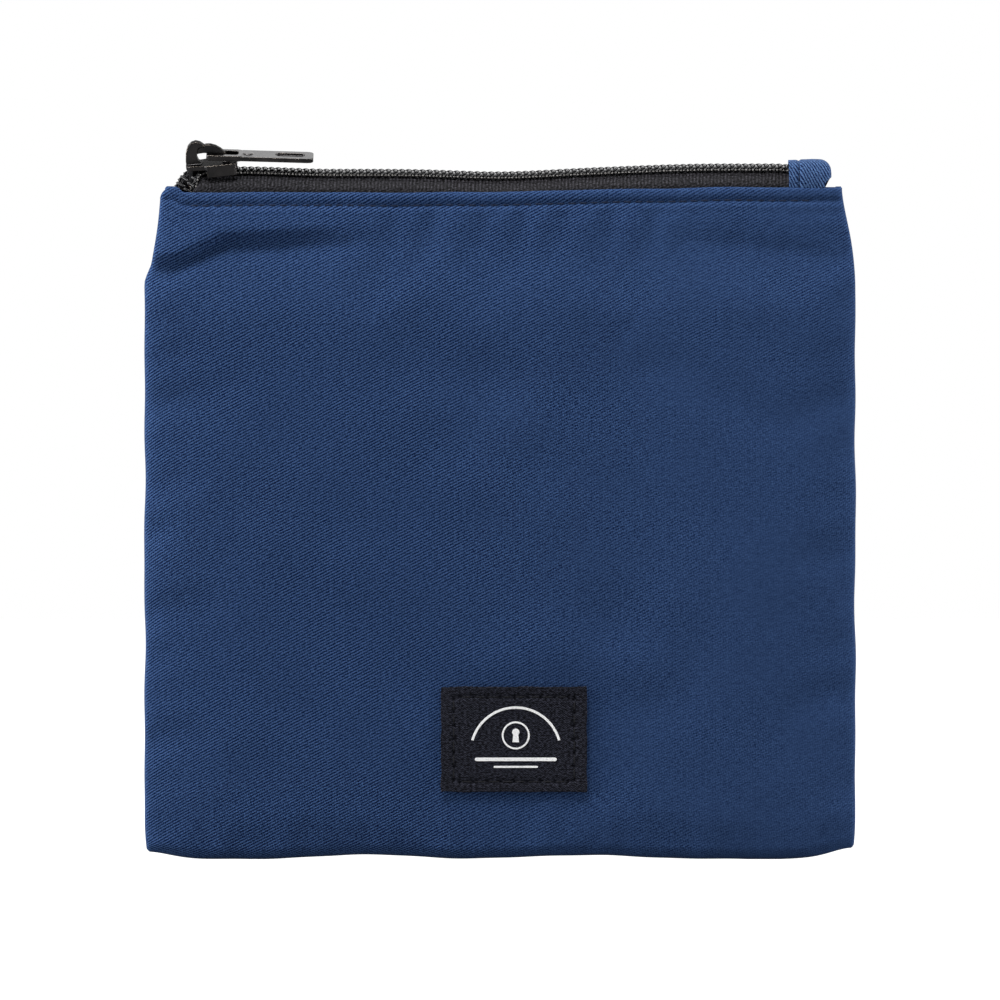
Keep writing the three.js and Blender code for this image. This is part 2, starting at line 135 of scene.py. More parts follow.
class Builder:
    """Collects closed pieces of mesh, in millimetres, with a cloth coordinate for each vertex."""

    def __init__(self):
        self.points = []
        self.weave = []
        self.faces = []

    def add(self, points, faces, weave=None):
        base = sum(len(block) for block in self.points)
        points = np.asarray(points, float).reshape(-1, 3)
        self.points.append(points)
        self.weave.append(points if weave is None else np.asarray(weave, float).reshape(-1, 3))
        self.faces.extend([tuple(base + index for index in face) for face in faces])

    def sheet(self, middle, thickness, weave=None):
        """A thick sheet round a grid of middle points, closed along its four edges."""
        middle = np.asarray(middle, float)
        rows, columns = middle.shape[:2]
        across = np.gradient(middle, axis=1)
        along = np.gradient(middle, axis=0)
        normal = np.cross(across, along)
        normal /= np.maximum(np.linalg.norm(normal, axis=2, keepdims=True), 1e-9)
        half = np.broadcast_to(np.asarray(thickness, float), (rows, columns))[..., None] / 2
        points = np.concatenate([middle + normal * half, middle - normal * half]).reshape(-1, 3)
        at = np.arange(rows * columns).reshape(rows, columns)
        lower = at + rows * columns
        faces = []
        for quads, flip in ((at, False), (lower, True)):
            a, b, c, d = quads[:-1, :-1], quads[:-1, 1:], quads[1:, 1:], quads[1:, :-1]
            order = (a, d, c, b) if flip else (a, b, c, d)
            faces.extend(np.stack([part.ravel() for part in order], axis=1).tolist())
        for line, under, flip in (
            (at[0], lower[0], True), (at[-1], lower[-1], False),
            (at[:, 0], lower[:, 0], False), (at[:, -1], lower[:, -1], True),
        ):
            order = (line[:-1], under[:-1], under[1:], line[1:])
            order = order[::-1] if not flip else order
            faces.extend(np.stack(order, axis=1).tolist())
        self.add(points, faces, None if weave is None else [weave, weave])

    def tube(self, points, radius, sides=8, reference=(0, 0, 1), weave=None):
        """A round thread or wire along points, closed at both ends. It never runs along the reference."""
        points = np.asarray(points, float)
        count = len(points)
        tangent = np.gradient(points, axis=0)
        tangent /= np.linalg.norm(tangent, axis=1, keepdims=True)
        side = np.cross(tangent, np.asarray(reference, float))
        side /= np.linalg.norm(side, axis=1, keepdims=True)
        up = np.cross(side, tangent)
        radius = np.broadcast_to(np.asarray(radius, float), (count,))
        angle = 2 * np.pi * np.arange(sides) / sides
        ring = np.cos(angle)[:, None] * side[:, None] + np.sin(angle)[:, None] * up[:, None]
        wall = points[:, None, :] + radius[:, None, None] * ring
        at = np.arange(count * sides).reshape(count, sides)
        turned = np.roll(at, -1, axis=1)
        quads = [at[:-1], at[1:], turned[1:], turned[:-1]]
        faces = np.stack([part.ravel() for part in quads], axis=1).tolist()
        faces.append(at[0].tolist())
        faces.append(at[-1][::-1].tolist())
        self.add(wall, faces, None if weave is None else np.repeat(weave, sides, axis=0))

    def make(self, name, material, node=None, smooth_shading=True):
        """Makes the piece, and puts it in place of its CAD node if it has one."""
        points = np.concatenate(self.points)
        mesh = bpy.data.meshes.new(name)
        mesh.from_pydata((points * MM).tolist(), [], self.faces)
        attribute = mesh.attributes.new("weave", "FLOAT_VECTOR", "POINT")
        attribute.data.foreach_set("vector", np.concatenate(self.weave).astype(np.float32).ravel())
        mesh.polygons.foreach_set("use_smooth", [smooth_shading] * len(mesh.polygons))
        mesh.materials.append(material)
        piece = bpy.data.objects.new(name, mesh)
        bpy.context.scene.collection.objects.link(piece)
        outward(piece)
        if node:
            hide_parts(node)
        return piece


def outward(piece):
    """Turns the faces of each closed shell outwards."""
    work = bmesh.new()
    work.from_mesh(piece.data)
    bmesh.ops.recalc_face_normals(work, faces=work.faces)
    work.to_mesh(piece.data)
    work.free()


def apply_modifiers(piece):
    graph = bpy.context.evaluated_depsgraph_get()
    baked = bpy.data.meshes.new_from_object(piece.evaluated_get(graph))
    piece.modifiers.clear()
    piece.data = baked


# ---------------------------------------------------------------- materials

class Nodes:
    """A short way to write a node material. Sockets are named, and values or other outputs go in."""

    def __init__(self, name, color):
        self.material = bpy.data.materials.new(name)
        self.material.use_nodes = True
        self.material.diffuse_color = (*color, 1)
        self.tree = self.material.node_tree
        self.shader = self.tree.nodes["Principled BSDF"]

    def put(self, socket, value):
        if isinstance(value, bpy.types.NodeSocket):
            self.tree.links.new(value, socket)
        elif isinstance(value, (tuple, list)) and len(value) == 3 and socket.type == "RGBA":
            socket.default_value = (*value, 1)
        else:
            socket.default_value = value

    def node(self, kind, output=0, settings=None, **values):
        node = self.tree.nodes.new(kind)
        for key, value in (settings or {}).items():
            setattr(node, key, value)
        for key, value in values.items():
            self.put(node.inputs[key.replace("_", " ")], value)
        return node.outputs[output]

    def math(self, operation, a, b=0.0, c=0.0):
        node = self.tree.nodes.new("ShaderNodeMath")
        node.operation = operation
        for socket, value in zip(node.inputs, (a, b, c)):
            self.put(socket, value)
        return node.outputs[0]

    def scaled(self, value, factor, plus=0.0):
        return self.math("MULTIPLY_ADD", value, factor, plus)

    def swing(self, value, factor, plus=0.0):
        """How far the value is from its middle, 0.5, scaled."""
        return self.scaled(self.math("SUBTRACT", value, 0.5), factor, plus)

    def sine(self, value, period):
        """A wave of the value between 0 and 1."""
        angle = self.scaled(value, 2 * math.pi / period)
        return self.scaled(self.math("SINE", angle), 0.5, 0.5)

    def cloth(self):
        """The cloth coordinate in millimetres, whole and as its three parts."""
        weave = self.node("ShaderNodeAttribute", output=1, settings={"attribute_name": "weave"})
        return weave, *self.node("ShaderNodeSeparateXYZ", Vector=weave).node.outputs

    def grain(self, scale, detail, low, high):
        """Noise in the object's own metres, spread over 0..1."""
        place = self.node("ShaderNodeTexCoord", output=3)
        return self.ramp(self.noise(place, scale, detail), low, high)

    def noise(self, vector, scale, detail=2.0, stretch=(1, 1, 1)):
        multiply = self.node("ShaderNodeVectorMath", settings={"operation": "MULTIPLY"}).node
        self.put(multiply.inputs[0], vector)
        multiply.inputs[1].default_value = stretch
        return self.node("ShaderNodeTexNoise", Vector=multiply.outputs[0], Scale=scale, Detail=detail)

    def mix(self, factor, a, b):
        node = self.tree.nodes.new("ShaderNodeMix")
        node.data_type = "RGBA"
        self.put(node.inputs[0], factor)
        self.put(node.inputs[6], a)
        self.put(node.inputs[7], b)
        return node.outputs[2]

    def ramp(self, factor, low, high):
        """Maps low..high of the factor to 0..1."""
        node = self.tree.nodes.new("ShaderNodeMapRange")
        self.put(node.inputs[0], factor)
        node.inputs[1].default_value = low
        node.inputs[2].default_value = high
        return node.outputs[0]

    def bumped(self, height, distance, strength=1.0):
        return self.node("ShaderNodeBump", Strength=strength, Distance=distance, Height=height)

    def surface(self, **values):
        for key, value in values.items():
            self.put(self.shader.inputs[key.replace("_", " ")], value)
        return self.material


def linear(red, green, blue):
    """A colour given as 0-255 screen values, as the linear numbers that shaders take."""
    def channel(value):
        value /= 255
        return value / 12.92 if value <= 0.04045 else ((value + 0.055) / 1.055) ** 2.4
    return tuple(channel(value) for value in (red, green, blue))


TWILL_ANGLE = math.radians(27)
TWILL_PITCH = 0.61


def twill_material(name, dark, light, angle=TWILL_ANGLE, evenness=0.0):
    """Twill in the cloth's own millimetres: slanted ridges, each a run of short floats of yarn."""
    nodes = Nodes(name, light)
    weave, p, q, _ = nodes.cloth()
    wander = nodes.noise(weave, 0.022, 1.0)
    q = nodes.scaled(wander, 1.5, q)
    across = nodes.scaled(q, math.cos(angle), nodes.scaled(p, -math.sin(angle)))
    ridge = nodes.sine(across, TWILL_PITCH)
    floats = nodes.sine(nodes.scaled(q, 0.35, p), 0.52)
    yarn = nodes.ramp(nodes.noise(weave, 1.1, 2.0, stretch=(1.3, 3.2, 1)), 0.3, 0.7)
    slub = nodes.ramp(nodes.noise(weave, 0.4, 3.0, stretch=(1, 3.5, 1)), 0.3, 0.7)
    patch = nodes.ramp(nodes.noise(weave, 0.04, 3.0, stretch=(1, 1.4, 1)), 0.35, 0.65)
    # painted light: the weave's shading and bump are strongest at the left, where the side light grazes,
    # and weaker to the right, most of all lower down; evenness 1 keeps them even
    calm = nodes.ramp(p, -20.0, 60.0)
    low = nodes.scaled(calm, nodes.ramp(q, 125.0, 100.0))
    clear = nodes.scaled(low, -0.5 * (1 - evenness), 0.78)
    strength = nodes.scaled(calm, -0.5 * (1 - evenness), 0.8)
    strength = nodes.scaled(patch, 0.35, strength)
    height = nodes.swing(ridge, clear, 0.39)
    height = nodes.scaled(floats, 0.22, height)
    height = nodes.swing(yarn, 0.65, height)
    warp = nodes.sine(p, 0.61)
    height = nodes.swing(warp, 0.16, height)
    shade = nodes.swing(height, 1.15)
    shade = nodes.scaled(shade, strength, 0.45)
    shade = nodes.swing(slub, 0.16, shade)
    color = nodes.mix(nodes.math("MINIMUM", nodes.math("MAXIMUM", shade, 0.0), 1.0), dark, light)
    return nodes.surface(
        Base_Color=color,
        Roughness=nodes.scaled(yarn, -0.12, 0.92),
        Specular_IOR_Level=0.06,
        Sheen_Weight=0.05,
        Sheen_Roughness=0.4,
        Sheen_Tint=(*linear(90, 125, 180), 1),
        Normal=nodes.bumped(nodes.scaled(height, strength), 0.1 * MM),
    )


def tape_material():
    """Knitted zip tape: upright ribs by the coil, then a closer knit towards the fabric edge."""
    dark, light = linear(6, 6, 7), linear(76, 75, 81)
    nodes = Nodes("zip_tape_knit", light)
    weave, p, q, _ = nodes.cloth()
    wale = nodes.sine(p, 0.78)
    course = nodes.sine(nodes.scaled(p, 0.35, q), 0.62)
    knit = nodes.ramp(q, 5.2, 6.2)
    rib = nodes.scaled(wale, nodes.scaled(course, 0.5, 0.5))
    loops = nodes.scaled(nodes.sine(nodes.scaled(q, 0.8, p), 0.8), course)
    pattern = nodes.scaled(nodes.math("SUBTRACT", loops, rib), knit, rib)
    fine = nodes.ramp(nodes.noise(weave, 1.9, 3.0), 0.35, 0.65)
    height = nodes.scaled(fine, 0.45, pattern)
    shade = nodes.scaled(fine, nodes.scaled(pattern, 0.75, 0.2))
    color = nodes.mix(shade, dark, light)
    return nodes.surface(
        Base_Color=color,
        Roughness=0.8,
        Specular_IOR_Level=0.12,
        Normal=nodes.bumped(height, 0.14 * MM),
    )


def thread_material(name, color, period=0.35, painted_glint=None):
    """Twisted thread: fine slanted turns along it. Where its second coordinate is 1, it takes a painted
    glint colour.
    """
    nodes = Nodes(name, color)
    weave, p, q, r = nodes.cloth()
    slant = nodes.scaled(r, 0.9, p)
    twist = nodes.sine(slant, period)
    fuzz = nodes.ramp(nodes.noise(weave, 3.0, 2.0), 0.3, 0.7)
    shade = nodes.scaled(fuzz, 0.3, nodes.scaled(twist, 0.5))
    dark = tuple(channel * 0.45 for channel in color)
    if painted_glint:
        color = nodes.mix(q, color, painted_glint)
    return nodes.surface(
        Base_Color=nodes.mix(shade, dark, color),
        Roughness=0.6,
        Specular_IOR_Level=0.2,
        Normal=nodes.bumped(twist, 0.05 * MM),
    )


def nylon_material():
    """Black nylon wire, glossy on the bends, dulled where the slider rubs it."""
    nodes = Nodes("coil_nylon", linear(30, 30, 33))
    rub = nodes.grain(900, 3.0, 0.35, 0.65)
    return nodes.surface(
        Base_Color=nodes.mix(rub, linear(9, 9, 11), linear(26, 26, 29)),
        Roughness=nodes.scaled(rub, 0.1, 0.16),
        Specular_IOR_Level=0.35,
        Specular_Tint=(0.4, 0.4, 0.4, 1),
        Normal=nodes.bumped(rub, 0.01 * MM),
    )


def gunmetal_material(name, glance):
    """Satin black plating, worn to a warm grey along the edges. glance: how bright it is edge on."""
    nodes = Nodes(name, linear(40, 38, 38))
    grain = nodes.grain(1800, 4.0, 0.3, 0.7)
    cloud = nodes.grain(220, 3.0, 0.35, 0.7)
    edge = nodes.node("ShaderNodeNewGeometry", output=7)
    worn = nodes.ramp(edge, 0.52, 0.62)
    worn = nodes.scaled(worn, nodes.scaled(cloud, 0.6, 0.4))
    plate = nodes.mix(cloud, linear(46, 46, 47), linear(64, 62, 62))
    return nodes.surface(
        Base_Color=nodes.mix(worn, plate, linear(150, 138, 124)),
        Metallic=1.0,
        Roughness=nodes.scaled(grain, 0.12, 0.22),
        Specular_Tint=(glance, glance, glance, 1),
        Normal=nodes.bumped(grain, 0.006 * MM, 0.6),
    )


def label_material():
    """Ribbed ribbon: fine weft ribs across, broken by the warp, with a little dust on the ridges."""
    nodes = Nodes("label_ribbon", linear(34, 36, 46))
    weave, p, q, _ = nodes.cloth()
    rib = nodes.sine(q, 0.5)
    warp = nodes.sine(p, 0.62)
    mottle = nodes.ramp(nodes.noise(weave, 1.5, 3.0, stretch=(1, 2.0, 1)), 0.4, 0.65)
    over = nodes.scaled(rib, warp)
    under = nodes.scaled(nodes.math("SUBTRACT", 1.0, rib), nodes.math("SUBTRACT", 1.0, warp))
    height = nodes.math("ADD", over, under)
    ridges = nodes.scaled(height, 0.85, 0.1)
    shade = nodes.scaled(nodes.scaled(ridges, mottle), 0.66)
    return nodes.surface(
        Base_Color=nodes.mix(shade, linear(2, 3, 9), linear(80, 82, 98)),
        Roughness=0.8,
        Specular_IOR_Level=0.1,
        Normal=nodes.bumped(height, 0.06 * MM),
    )


def print_material():
    """White screen-print ink, slightly thin over the ribs."""
    nodes = Nodes("white_ink", linear(245, 245, 245))
    weave, *_ = nodes.cloth()
    thin = nodes.ramp(nodes.noise(weave, 2.5, 2.0), 0.25, 0.5)
    return nodes.surface(
        Base_Color=nodes.mix(thin, linear(205, 206, 210), linear(250, 250, 250)),
        Roughness=0.55,
        Normal=nodes.bumped(thin, 0.01 * MM),
    )


def lining_material():
    """Plain-weave lining."""
    nodes = Nodes("lining_weave", linear(38, 42, 52))
    weave, p, q, _ = nodes.cloth()
    check = nodes.scaled(nodes.sine(p, 0.5), nodes.sine(q, 0.5))
    streak = nodes.ramp(nodes.noise(weave, 0.8, 2.0, stretch=(1, 6, 1)), 0.3, 0.7)
    shade = nodes.scaled(streak, 0.4, nodes.scaled(check, 0.6))
    return nodes.surface(
        Base_Color=nodes.mix(shade, linear(24, 27, 36), linear(56, 61, 74)),
        Roughness=0.7,
        Sheen_Weight=0.15,
        Normal=nodes.bumped(check, 0.05 * MM),
    )


NAVY_DARK = linear(3, 19, 54)
NAVY_LIGHT = linear(62, 89, 133)
twill = twill_material("navy_twill", NAVY_DARK, NAVY_LIGHT)
# painted light: the end tab's twill is a lighter copy of the navy twill, for the highlights on the tab
TAB_LIGHT = linear(77, 105, 148)
tab_twill = twill_material("navy_twill_bias", NAVY_DARK, TAB_LIGHT, math.radians(-62), evenness=1.0)
tape_knit = tape_material()
nylon = nylon_material()
gunmetal = gunmetal_material("gunmetal", 1.0)
# painted shade: the slider's copy of the plating reflects less edge on, so its top plate looks darker than
# the pull
shaded_gunmetal = gunmetal_material("shaded_gunmetal", 0.3)
ribbon = label_material()
ink = print_material()
lining_cloth = lining_material()
navy_thread = thread_material("navy_thread", linear(24, 40, 70))
black_thread = thread_material("black_thread", linear(20, 21, 27))
# the pale colour on the coil's sewing is a painted glint, for light caught on the heels
coil_thread = thread_material("coil_thread", linear(46, 46, 47), 0.3, painted_glint=linear(190, 187, 184))
cord_thread = thread_material("coil_cord", linear(60, 60, 64), 0.8)


# ---------------------------------------------------------------- front pieces, baked in place


def open_with_mouth(piece):
    """Bakes the piece's placement into its mesh and reads its points."""
    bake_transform(piece)
    count = len(piece.data.vertices)
    points = np.zeros(count * 3)
    piece.data.vertices.foreach_get("co", points)


# ---------------------------------------------------------------- twill panels

# height of the fold under the front flap, how far out the front is, how far up the bottom edge is round
CREASE_Z = 133.0
FRONT_FULLNESS = 4.75
BOTTOM_ROUND = 2.8


def quarter_round(t):
    """0 at t = 0 and 1 at t = 1, along a quarter circle."""
    return 1 - np.sqrt(1 - np.clip(t, 0, 1) ** 2)


def side_edge(direction, z):
    """Half width at a height. The left side kinks at the crease, the right one draws in evenly."""
    z = np.asarray(z, float)
    wobble = 0.25 * waves(z, (31, 19, 47), 4 + direction) * smooth(6, 20, z)
    if direction < 0:
        narrowing = 1.4 * smooth(129.5, 134.5, z) + 2.2 * np.clip((z - 133) / 17, 0, 1.1)
    else:
        narrowing = 2.9 * smooth(129, 154, z)
    corner = 2.2 * quarter_round(1 - z / 2.4) + 0.7 * np.clip(1 - z / 9, 0, 1) ** 2
    if direction < 0:
        corner = corner + 2.3 * quarter_round((z - 149.0) / 2.35)
    return HALF_WIDTH + 0.1 + wobble - narrowing - corner


def bottom_edge(x):
    """The bottom edge arches twice and lifts at both corners."""
    x = np.asarray(x, float)
    corners = 1.75 * bump(-HALF_WIDTH, 7, x) + 2.55 * bump(HALF_WIDTH, 7.5, x)
    arches = 1.05 * bump(-30, 14, x) + 0.9 * bump(19, 17, x)
    return 0.05 + arches + 0.08 * waves(x, (23, 14), 11) + corners


def top_edge(side, x):
    """The folded top edge rises gently to the right; its left corner stands up a little."""
    x = np.asarray(x, float)
    if side == REAR:
        return REAR_TOP - 0.3 - 1.9 * (1 - smooth(-74, -60, x)) + 0.2 * waves(x, (70, 41), 21)
    rise = 1.1 * smooth(-15, 55, x) + 1.3 * smooth(-71.2, -73.8, x)
    return FRONT_TOP - 0.2 + rise + 0.1 * waves(x, (33, 21), 7)


def crown(x_share, squareness):
    """1 in the middle and 0 at both ends (-1 and 1), flatter between with more squareness."""
    return np.clip(1 - np.abs(x_share) ** squareness, 0, 1) ** (1 / squareness)


def panel_depth(side, z):
    """Seam plane to the middle of the cloth, where the panel is fully out."""
    mouth = MOUTH_DEPTH - TWILL / 2
    body = FRONT_FULLNESS if side == FRONT else mouth
    body = body * (0.6 + 0.4 * smooth(-20, 75, z))
    return body + (mouth - body) * smooth(110, 145, z)


def rounding(share, z_share):
    """How far out the cloth is (0..1), by its place across and its place up: round towards the seams."""
    squareness = 4 + 10 * smooth(100, FRONT_TOP, z_share)
    up = crown(np.clip(1 - z_share / BOTTOM_ROUND, 0, 1), 2.2)
    return crown(share, squareness), up


def front_relief(x, z):
    """Folds of the front, outwards in millimetres."""
    left = 1 - smooth(-54, -14, x)
    fold_z = CREASE_Z + 2.0 + 5.2 * smooth(-76, -60, x) + 0.6 * smooth(-60, -20, x)
    fold_width = 2.4 + 5.0 * smooth(-66, -15, x)
    below = z - fold_z
    flap = (0.1 + 1.6 * left + 0.5 * smooth(30, 60, x)) * (0.2 + 0.8 * smooth(149, fold_z + 1.5, z))
    step = flap * smooth(-0.5, 0.5, below / fold_width)
    undercut = -0.5 * left * bump(-2.6, 2.2, below)
    full = 2.9 - 0.7 * bump(28, 16, x) + 0.25 * waves(x, (55, 34), 31)
    swell_top = 146 - 5 * left - 3 * smooth(30, 60, x)
    swell = full * smooth(swell_top, 122, z) * (1 - 0.9 * smooth(120, 15, z))
    hollow = -0.45 * bump(-5, 46, x) * bump(108, 8, z)
    puckers_along = 0.5 + 0.5 * np.cos(2 * np.pi * (x + 20) / 9.8 + 0.7 * waves(x, (37, 23), 5))
    puckers_up = smooth(147.6, 143.6, z) * (1 - smooth(143.4, 133, z))
    puckers = 0.75 * puckers_along * smooth(-34, -20, x) * (1 - smooth(34, 50, x)) * puckers_up
    right_band = 0.6 * smooth(-0.5, 0.5, (z - 139 + 0.12 * (x - 60)) / 5) * smooth(38, 52, x)
    low = 0.5 * waves(x + 0.5 * z, (64, 41, 27), 8) * waves(z - 0.3 * x, (52, 33, 21), 9)
    label_hollow = 0.3 * bump(3, 16, x) * bump(44, 5, z) - 0.25 * bump(-19, 7, x) * bump(18, 7, z)
    return step + undercut + swell + hollow + puckers + right_band + low + label_hollow


def rear_relief(x, z):
    """Softer folds of the rear, outwards in millimetres."""
    step = (0.3 + 0.5 * smooth(20, 70, x)) * smooth(-0.5, 0.5, (z - 138) / 6)
    low = 0.35 * waves(x - 0.4 * z, (71, 43), 18) * waves(z + 0.3 * x, (58, 35), 19)
    return step + low


def edge_puckers(side, x, z, half):
    """Short pulls that run in from the sewn edges."""
    seed = 40 if side == FRONT else 60
    near_left = np.exp(-np.clip(half + x, 0, None) / 8)
    near_right = np.exp(-np.clip(half - x, 0, None) / 8)
    near_bottom = np.exp(-np.clip(z, 0, None) / 5)
    slanted = z - 0.25 * x
    left = near_left * waves(slanted, (24, 15, 9.5), seed)
    right = near_right * waves(slanted, (27, 17, 11), seed + 1)
    bottom = near_bottom * waves(x, (19, 12, 7.3), seed + 2)
    return 0.55 * (left + right) + 0.4 * bottom


def stitch_dents(side, x, z):
    """The top stitches pull the cloth in, most at each needle hole, and leave the folded edge puffed."""
    line = top_edge(side, x) - STITCH_DROP
    holes = 0.5 + 0.5 * np.cos(2 * np.pi * x / STITCH_PITCH)
    groove = -(0.3 + 0.22 * holes ** 2) * bump(0, 0.7, z - line)
    return groove + 0.12 * bump(1.4, 0.8, z - line) + 0.12 * bump(-1.5, 0.9, z - line)


TURN_IN = 1.2
FOLD_RADIUS = 0.55
HEM = 10.0


def cloth_rows():
    """Heights of the cloth grid's rows: close together at the bottom fold and near the top."""
    lower = np.concatenate([np.arange(0, 4, 0.45), np.arange(4, 16, 0.9)])
    middle = np.arange(16, 136, 1.15)
    upper = np.arange(136, 150.01, 0.36)
    return np.concatenate([lower, middle, upper])


def cloth_columns(count=218):
    """Places across, -1 to 1, closer together near the side seams."""
    t = np.linspace(-1, 1, count)
    return 0.45 * t + 0.55 * np.sin(np.pi * t / 2)


# how far the air pushes each side's cloth out, filled in by the simulation
cloth_fields = {}


def cubic(values, place):
    """Reads evenly spaced rows of values at fractional row numbers, on a smooth curve through them."""
    last = len(values) - 1
    first = np.clip(np.floor(place).astype(int), 0, last - 1)
    t = (np.clip(place, 0, last) - first)[..., None]
    a, b, c, d = (values[np.clip(first + k, 0, last)] for k in (-1, 0, 1, 2))
    square, cube = 2 * a - 5 * b + 4 * c - d, 3 * b - a - 3 * c + d
    return 0.5 * (2 * b + (c - a) * t + square * t ** 2 + cube * t ** 3)


def field_at(field, columns, rows):
    """A simulated field (rows up, columns across) on a finer grid of share and height values."""
    up = cubic(field, np.asarray(rows) * (field.shape[0] - 1))
    return cubic(up.T, (np.asarray(columns) + 1) / 2 * (field.shape[1] - 1)).T


SIM_COLUMNS = 81
SIM_ROWS = 77
SIM_FRAMES = 20
SIM_CAP = 4.0
SIM_SHARE = {FRONT: 0.5, REAR: 0.8}


def simulate_cloth():
    """Fills the closed bag with a little air, so that its slack cloth finds its own folds."""
    share, up = np.meshgrid(np.linspace(-1, 1, SIM_COLUMNS), np.linspace(0, 1, SIM_ROWS))
    count = SIM_ROWS * SIM_COLUMNS
    index = {}
    index[FRONT] = np.arange(count).reshape(SIM_ROWS, SIM_COLUMNS)
    index[REAR] = index[FRONT] + count
    for edge in (np.s_[:, 0], np.s_[:, -1], np.s_[0, :]):
        index[REAR][edge] = index[FRONT][edge]
    points = np.zeros((2 * count, 3))
    for side in (REAR, FRONT):
        x, depth, z = panel_surface(side, share, up * FRONT_TOP)
        points[index[side].ravel()] = np.stack([x, side * depth, z], axis=2).reshape(-1, 3)
    points[index[FRONT][:, 0], 1] = 0
    points[index[FRONT][:, -1], 1] = 0
    points[index[FRONT][0], 1] = 0
    used = np.unique(np.concatenate([index[FRONT].ravel(), index[REAR].ravel()]))
    renumber = np.zeros(2 * count, int)
    renumber[used] = np.arange(len(used))
    faces = []
    for side in (FRONT, REAR):
        grid = renumber[index[side]]
        corners = (grid[:-1, :-1], grid[:-1, 1:], grid[1:, 1:], grid[1:, :-1])
        quads = np.stack(corners, axis=2).reshape(-1, 4)
        faces.extend((quads if side == FRONT else quads[:, ::-1]).tolist())
    mesh = bpy.data.meshes.new("air_filled")
    mesh.from_pydata((points[used] * MM).tolist(), [], faces)
    bag = bpy.data.objects.new("air_filled", mesh)
    bpy.context.scene.collection.objects.link(bag)

    held = bag.vertex_groups.new(name="held")
    seams = np.concatenate([index[FRONT][:, 0], index[FRONT][:, -1], index[FRONT][0]])
    mouth = np.concatenate([index[side][-4:].ravel() for side in (FRONT, REAR)])
    held.add([int(i) for i in np.unique(renumber[np.concatenate([seams, mouth])])], 1.0, "REPLACE")
    cloth = bag.modifiers.new("cloth", "CLOTH")
    settings = cloth.settings
    settings.quality = 8
    settings.mass = 0.2
    settings.tension_stiffness = settings.compression_stiffness = 25
    settings.shear_stiffness = 12
    settings.bending_stiffness = 6
    settings.vertex_group_mass = "held"
    settings.shrink_min = -0.003
    settings.use_pressure = True
    settings.uniform_pressure_force = 0.5
    settings.effector_weights.gravity = 0
    cloth.point_cache.frame_start = 1
    cloth.point_cache.frame_end = SIM_FRAMES
    for number in range(1, SIM_FRAMES + 1):
        bpy.context.scene.frame_set(number)
    graph = bpy.context.evaluated_depsgraph_get()
    moved = np.array([vertex.co for vertex in bag.evaluated_get(graph).data.vertices]) / MM
    for side in (FRONT, REAR):
        push = (moved - points[used])[renumber[index[side]], 1] * side
        cloth_fields[side] = SIM_SHARE[side] * SIM_CAP * np.tanh(push / SIM_CAP)
    bpy.data.objects.remove(bag)
    bpy.context.scene.frame_set(1)


def panel_surface(side, share, z_share):
    """The middle of a panel's cloth for grids of share (-1..1 across) and z_share (0..FRONT_TOP up)."""
    x = HALF_WIDTH * share
    near_bottom = 1 - smooth(0, 30, z_share)
    near_top = smooth(115, FRONT_TOP, z_share)
    for _ in range(3):
        z = z_share + bottom_edge(x) * near_bottom + (top_edge(side, x) - FRONT_TOP) * near_top
        half = np.where(share < 0, side_edge(-1, z), side_edge(1, z)) - 0.1
        x = half * share
    across, up = rounding(share, z_share)
    rise = across * up
    relief = front_relief(x, z) if side == FRONT else rear_relief(x, z)
    relief = relief * crown(share, 12) * smooth(0, 10, z_share)
    relief = relief + edge_puckers(side, x, z, half) * np.sqrt(rise) * (1 - smooth(142, 150, z_share))
    relief = relief + stitch_dents(side, x, z) * crown(share, 20)
    if side in cloth_fields:
        relief = relief + field_at(cloth_fields[side], share[0], z_share[:, 0] / FRONT_TOP)
    depth = SEAM_GAP + (panel_depth(side, z_share) - SEAM_GAP) * rise + relief * np.clip(rise * 3, 0, 1)
    return x, depth, z


def panel_grid(side):
    rows, columns = cloth_rows(), cloth_columns()
    share, height = np.meshgrid(columns, rows)
    x, depth, z = panel_surface(side, share, height)
    across, up = rounding(share, height)
    round_x = np.sign(share) * (1 - across) * panel_depth(side, height)
    round_z = -(1 - up) * panel_depth(side, height)
    arc = np.linspace(0, np.pi / 2, 5)[1:]

    # the top edge rolls over a fold and hangs down inside as a hem
    top_x, top_depth, top_z = x[-1], depth[-1], z[-1]
    fold = []
    for a in arc:
        over = FOLD_RADIUS * (1 - np.cos(2 * a))
        fold.append((top_x, top_depth - over, top_z + FOLD_RADIUS * np.sin(2 * a)))
    hem_depth = top_depth - 2 * FOLD_RADIUS
    for drop in np.linspace(1.2, HEM, 8):
        fold.append((top_x, hem_depth - 0.15 * np.ones_like(top_x), top_z - drop))
    # the bottom edge turns in along the seam
    turned = [(x[0], depth[0] * 0 + SEAM_GAP - 0.02 * k, z[0] + 0.3 * k) for k in (4, 3, 2, 1)]
    layers = turned + list(zip(x, depth, z)) + fold
    x, depth, z = (np.array(values) for values in zip(*layers))

    # both side edges turn in along the seam
    def turn(column, inwards):
        flat = np.minimum(depth[:, column], SEAM_GAP)
        return [(x[:, column] + inwards * TURN_IN * a, flat, z[:, column]) for a in (0.5, 1.0)]

    left = turn(0, 1)[::-1]
    right = turn(-1, -1)
    x, depth, z = (np.column_stack(parts) for parts in zip(*left, (x, depth, z), *right))
    middle = np.stack([x, side * depth, z], axis=2)
    padding = ((len(turned), len(fold)), (len(left), len(right)))
    weave_x = (x + np.pad(round_x, padding, mode="edge")) * (1 if side == FRONT else -1)
    climb = z + np.pad(round_z, padding, mode="edge")
    past_top = np.arange(1, len(fold) + 1)[:, None]
    climb[-len(fold):] = climb[-len(fold) - 1] + past_top * 0.5
    weave = np.stack([weave_x, climb, np.zeros_like(x)], axis=2)
    return middle, weave


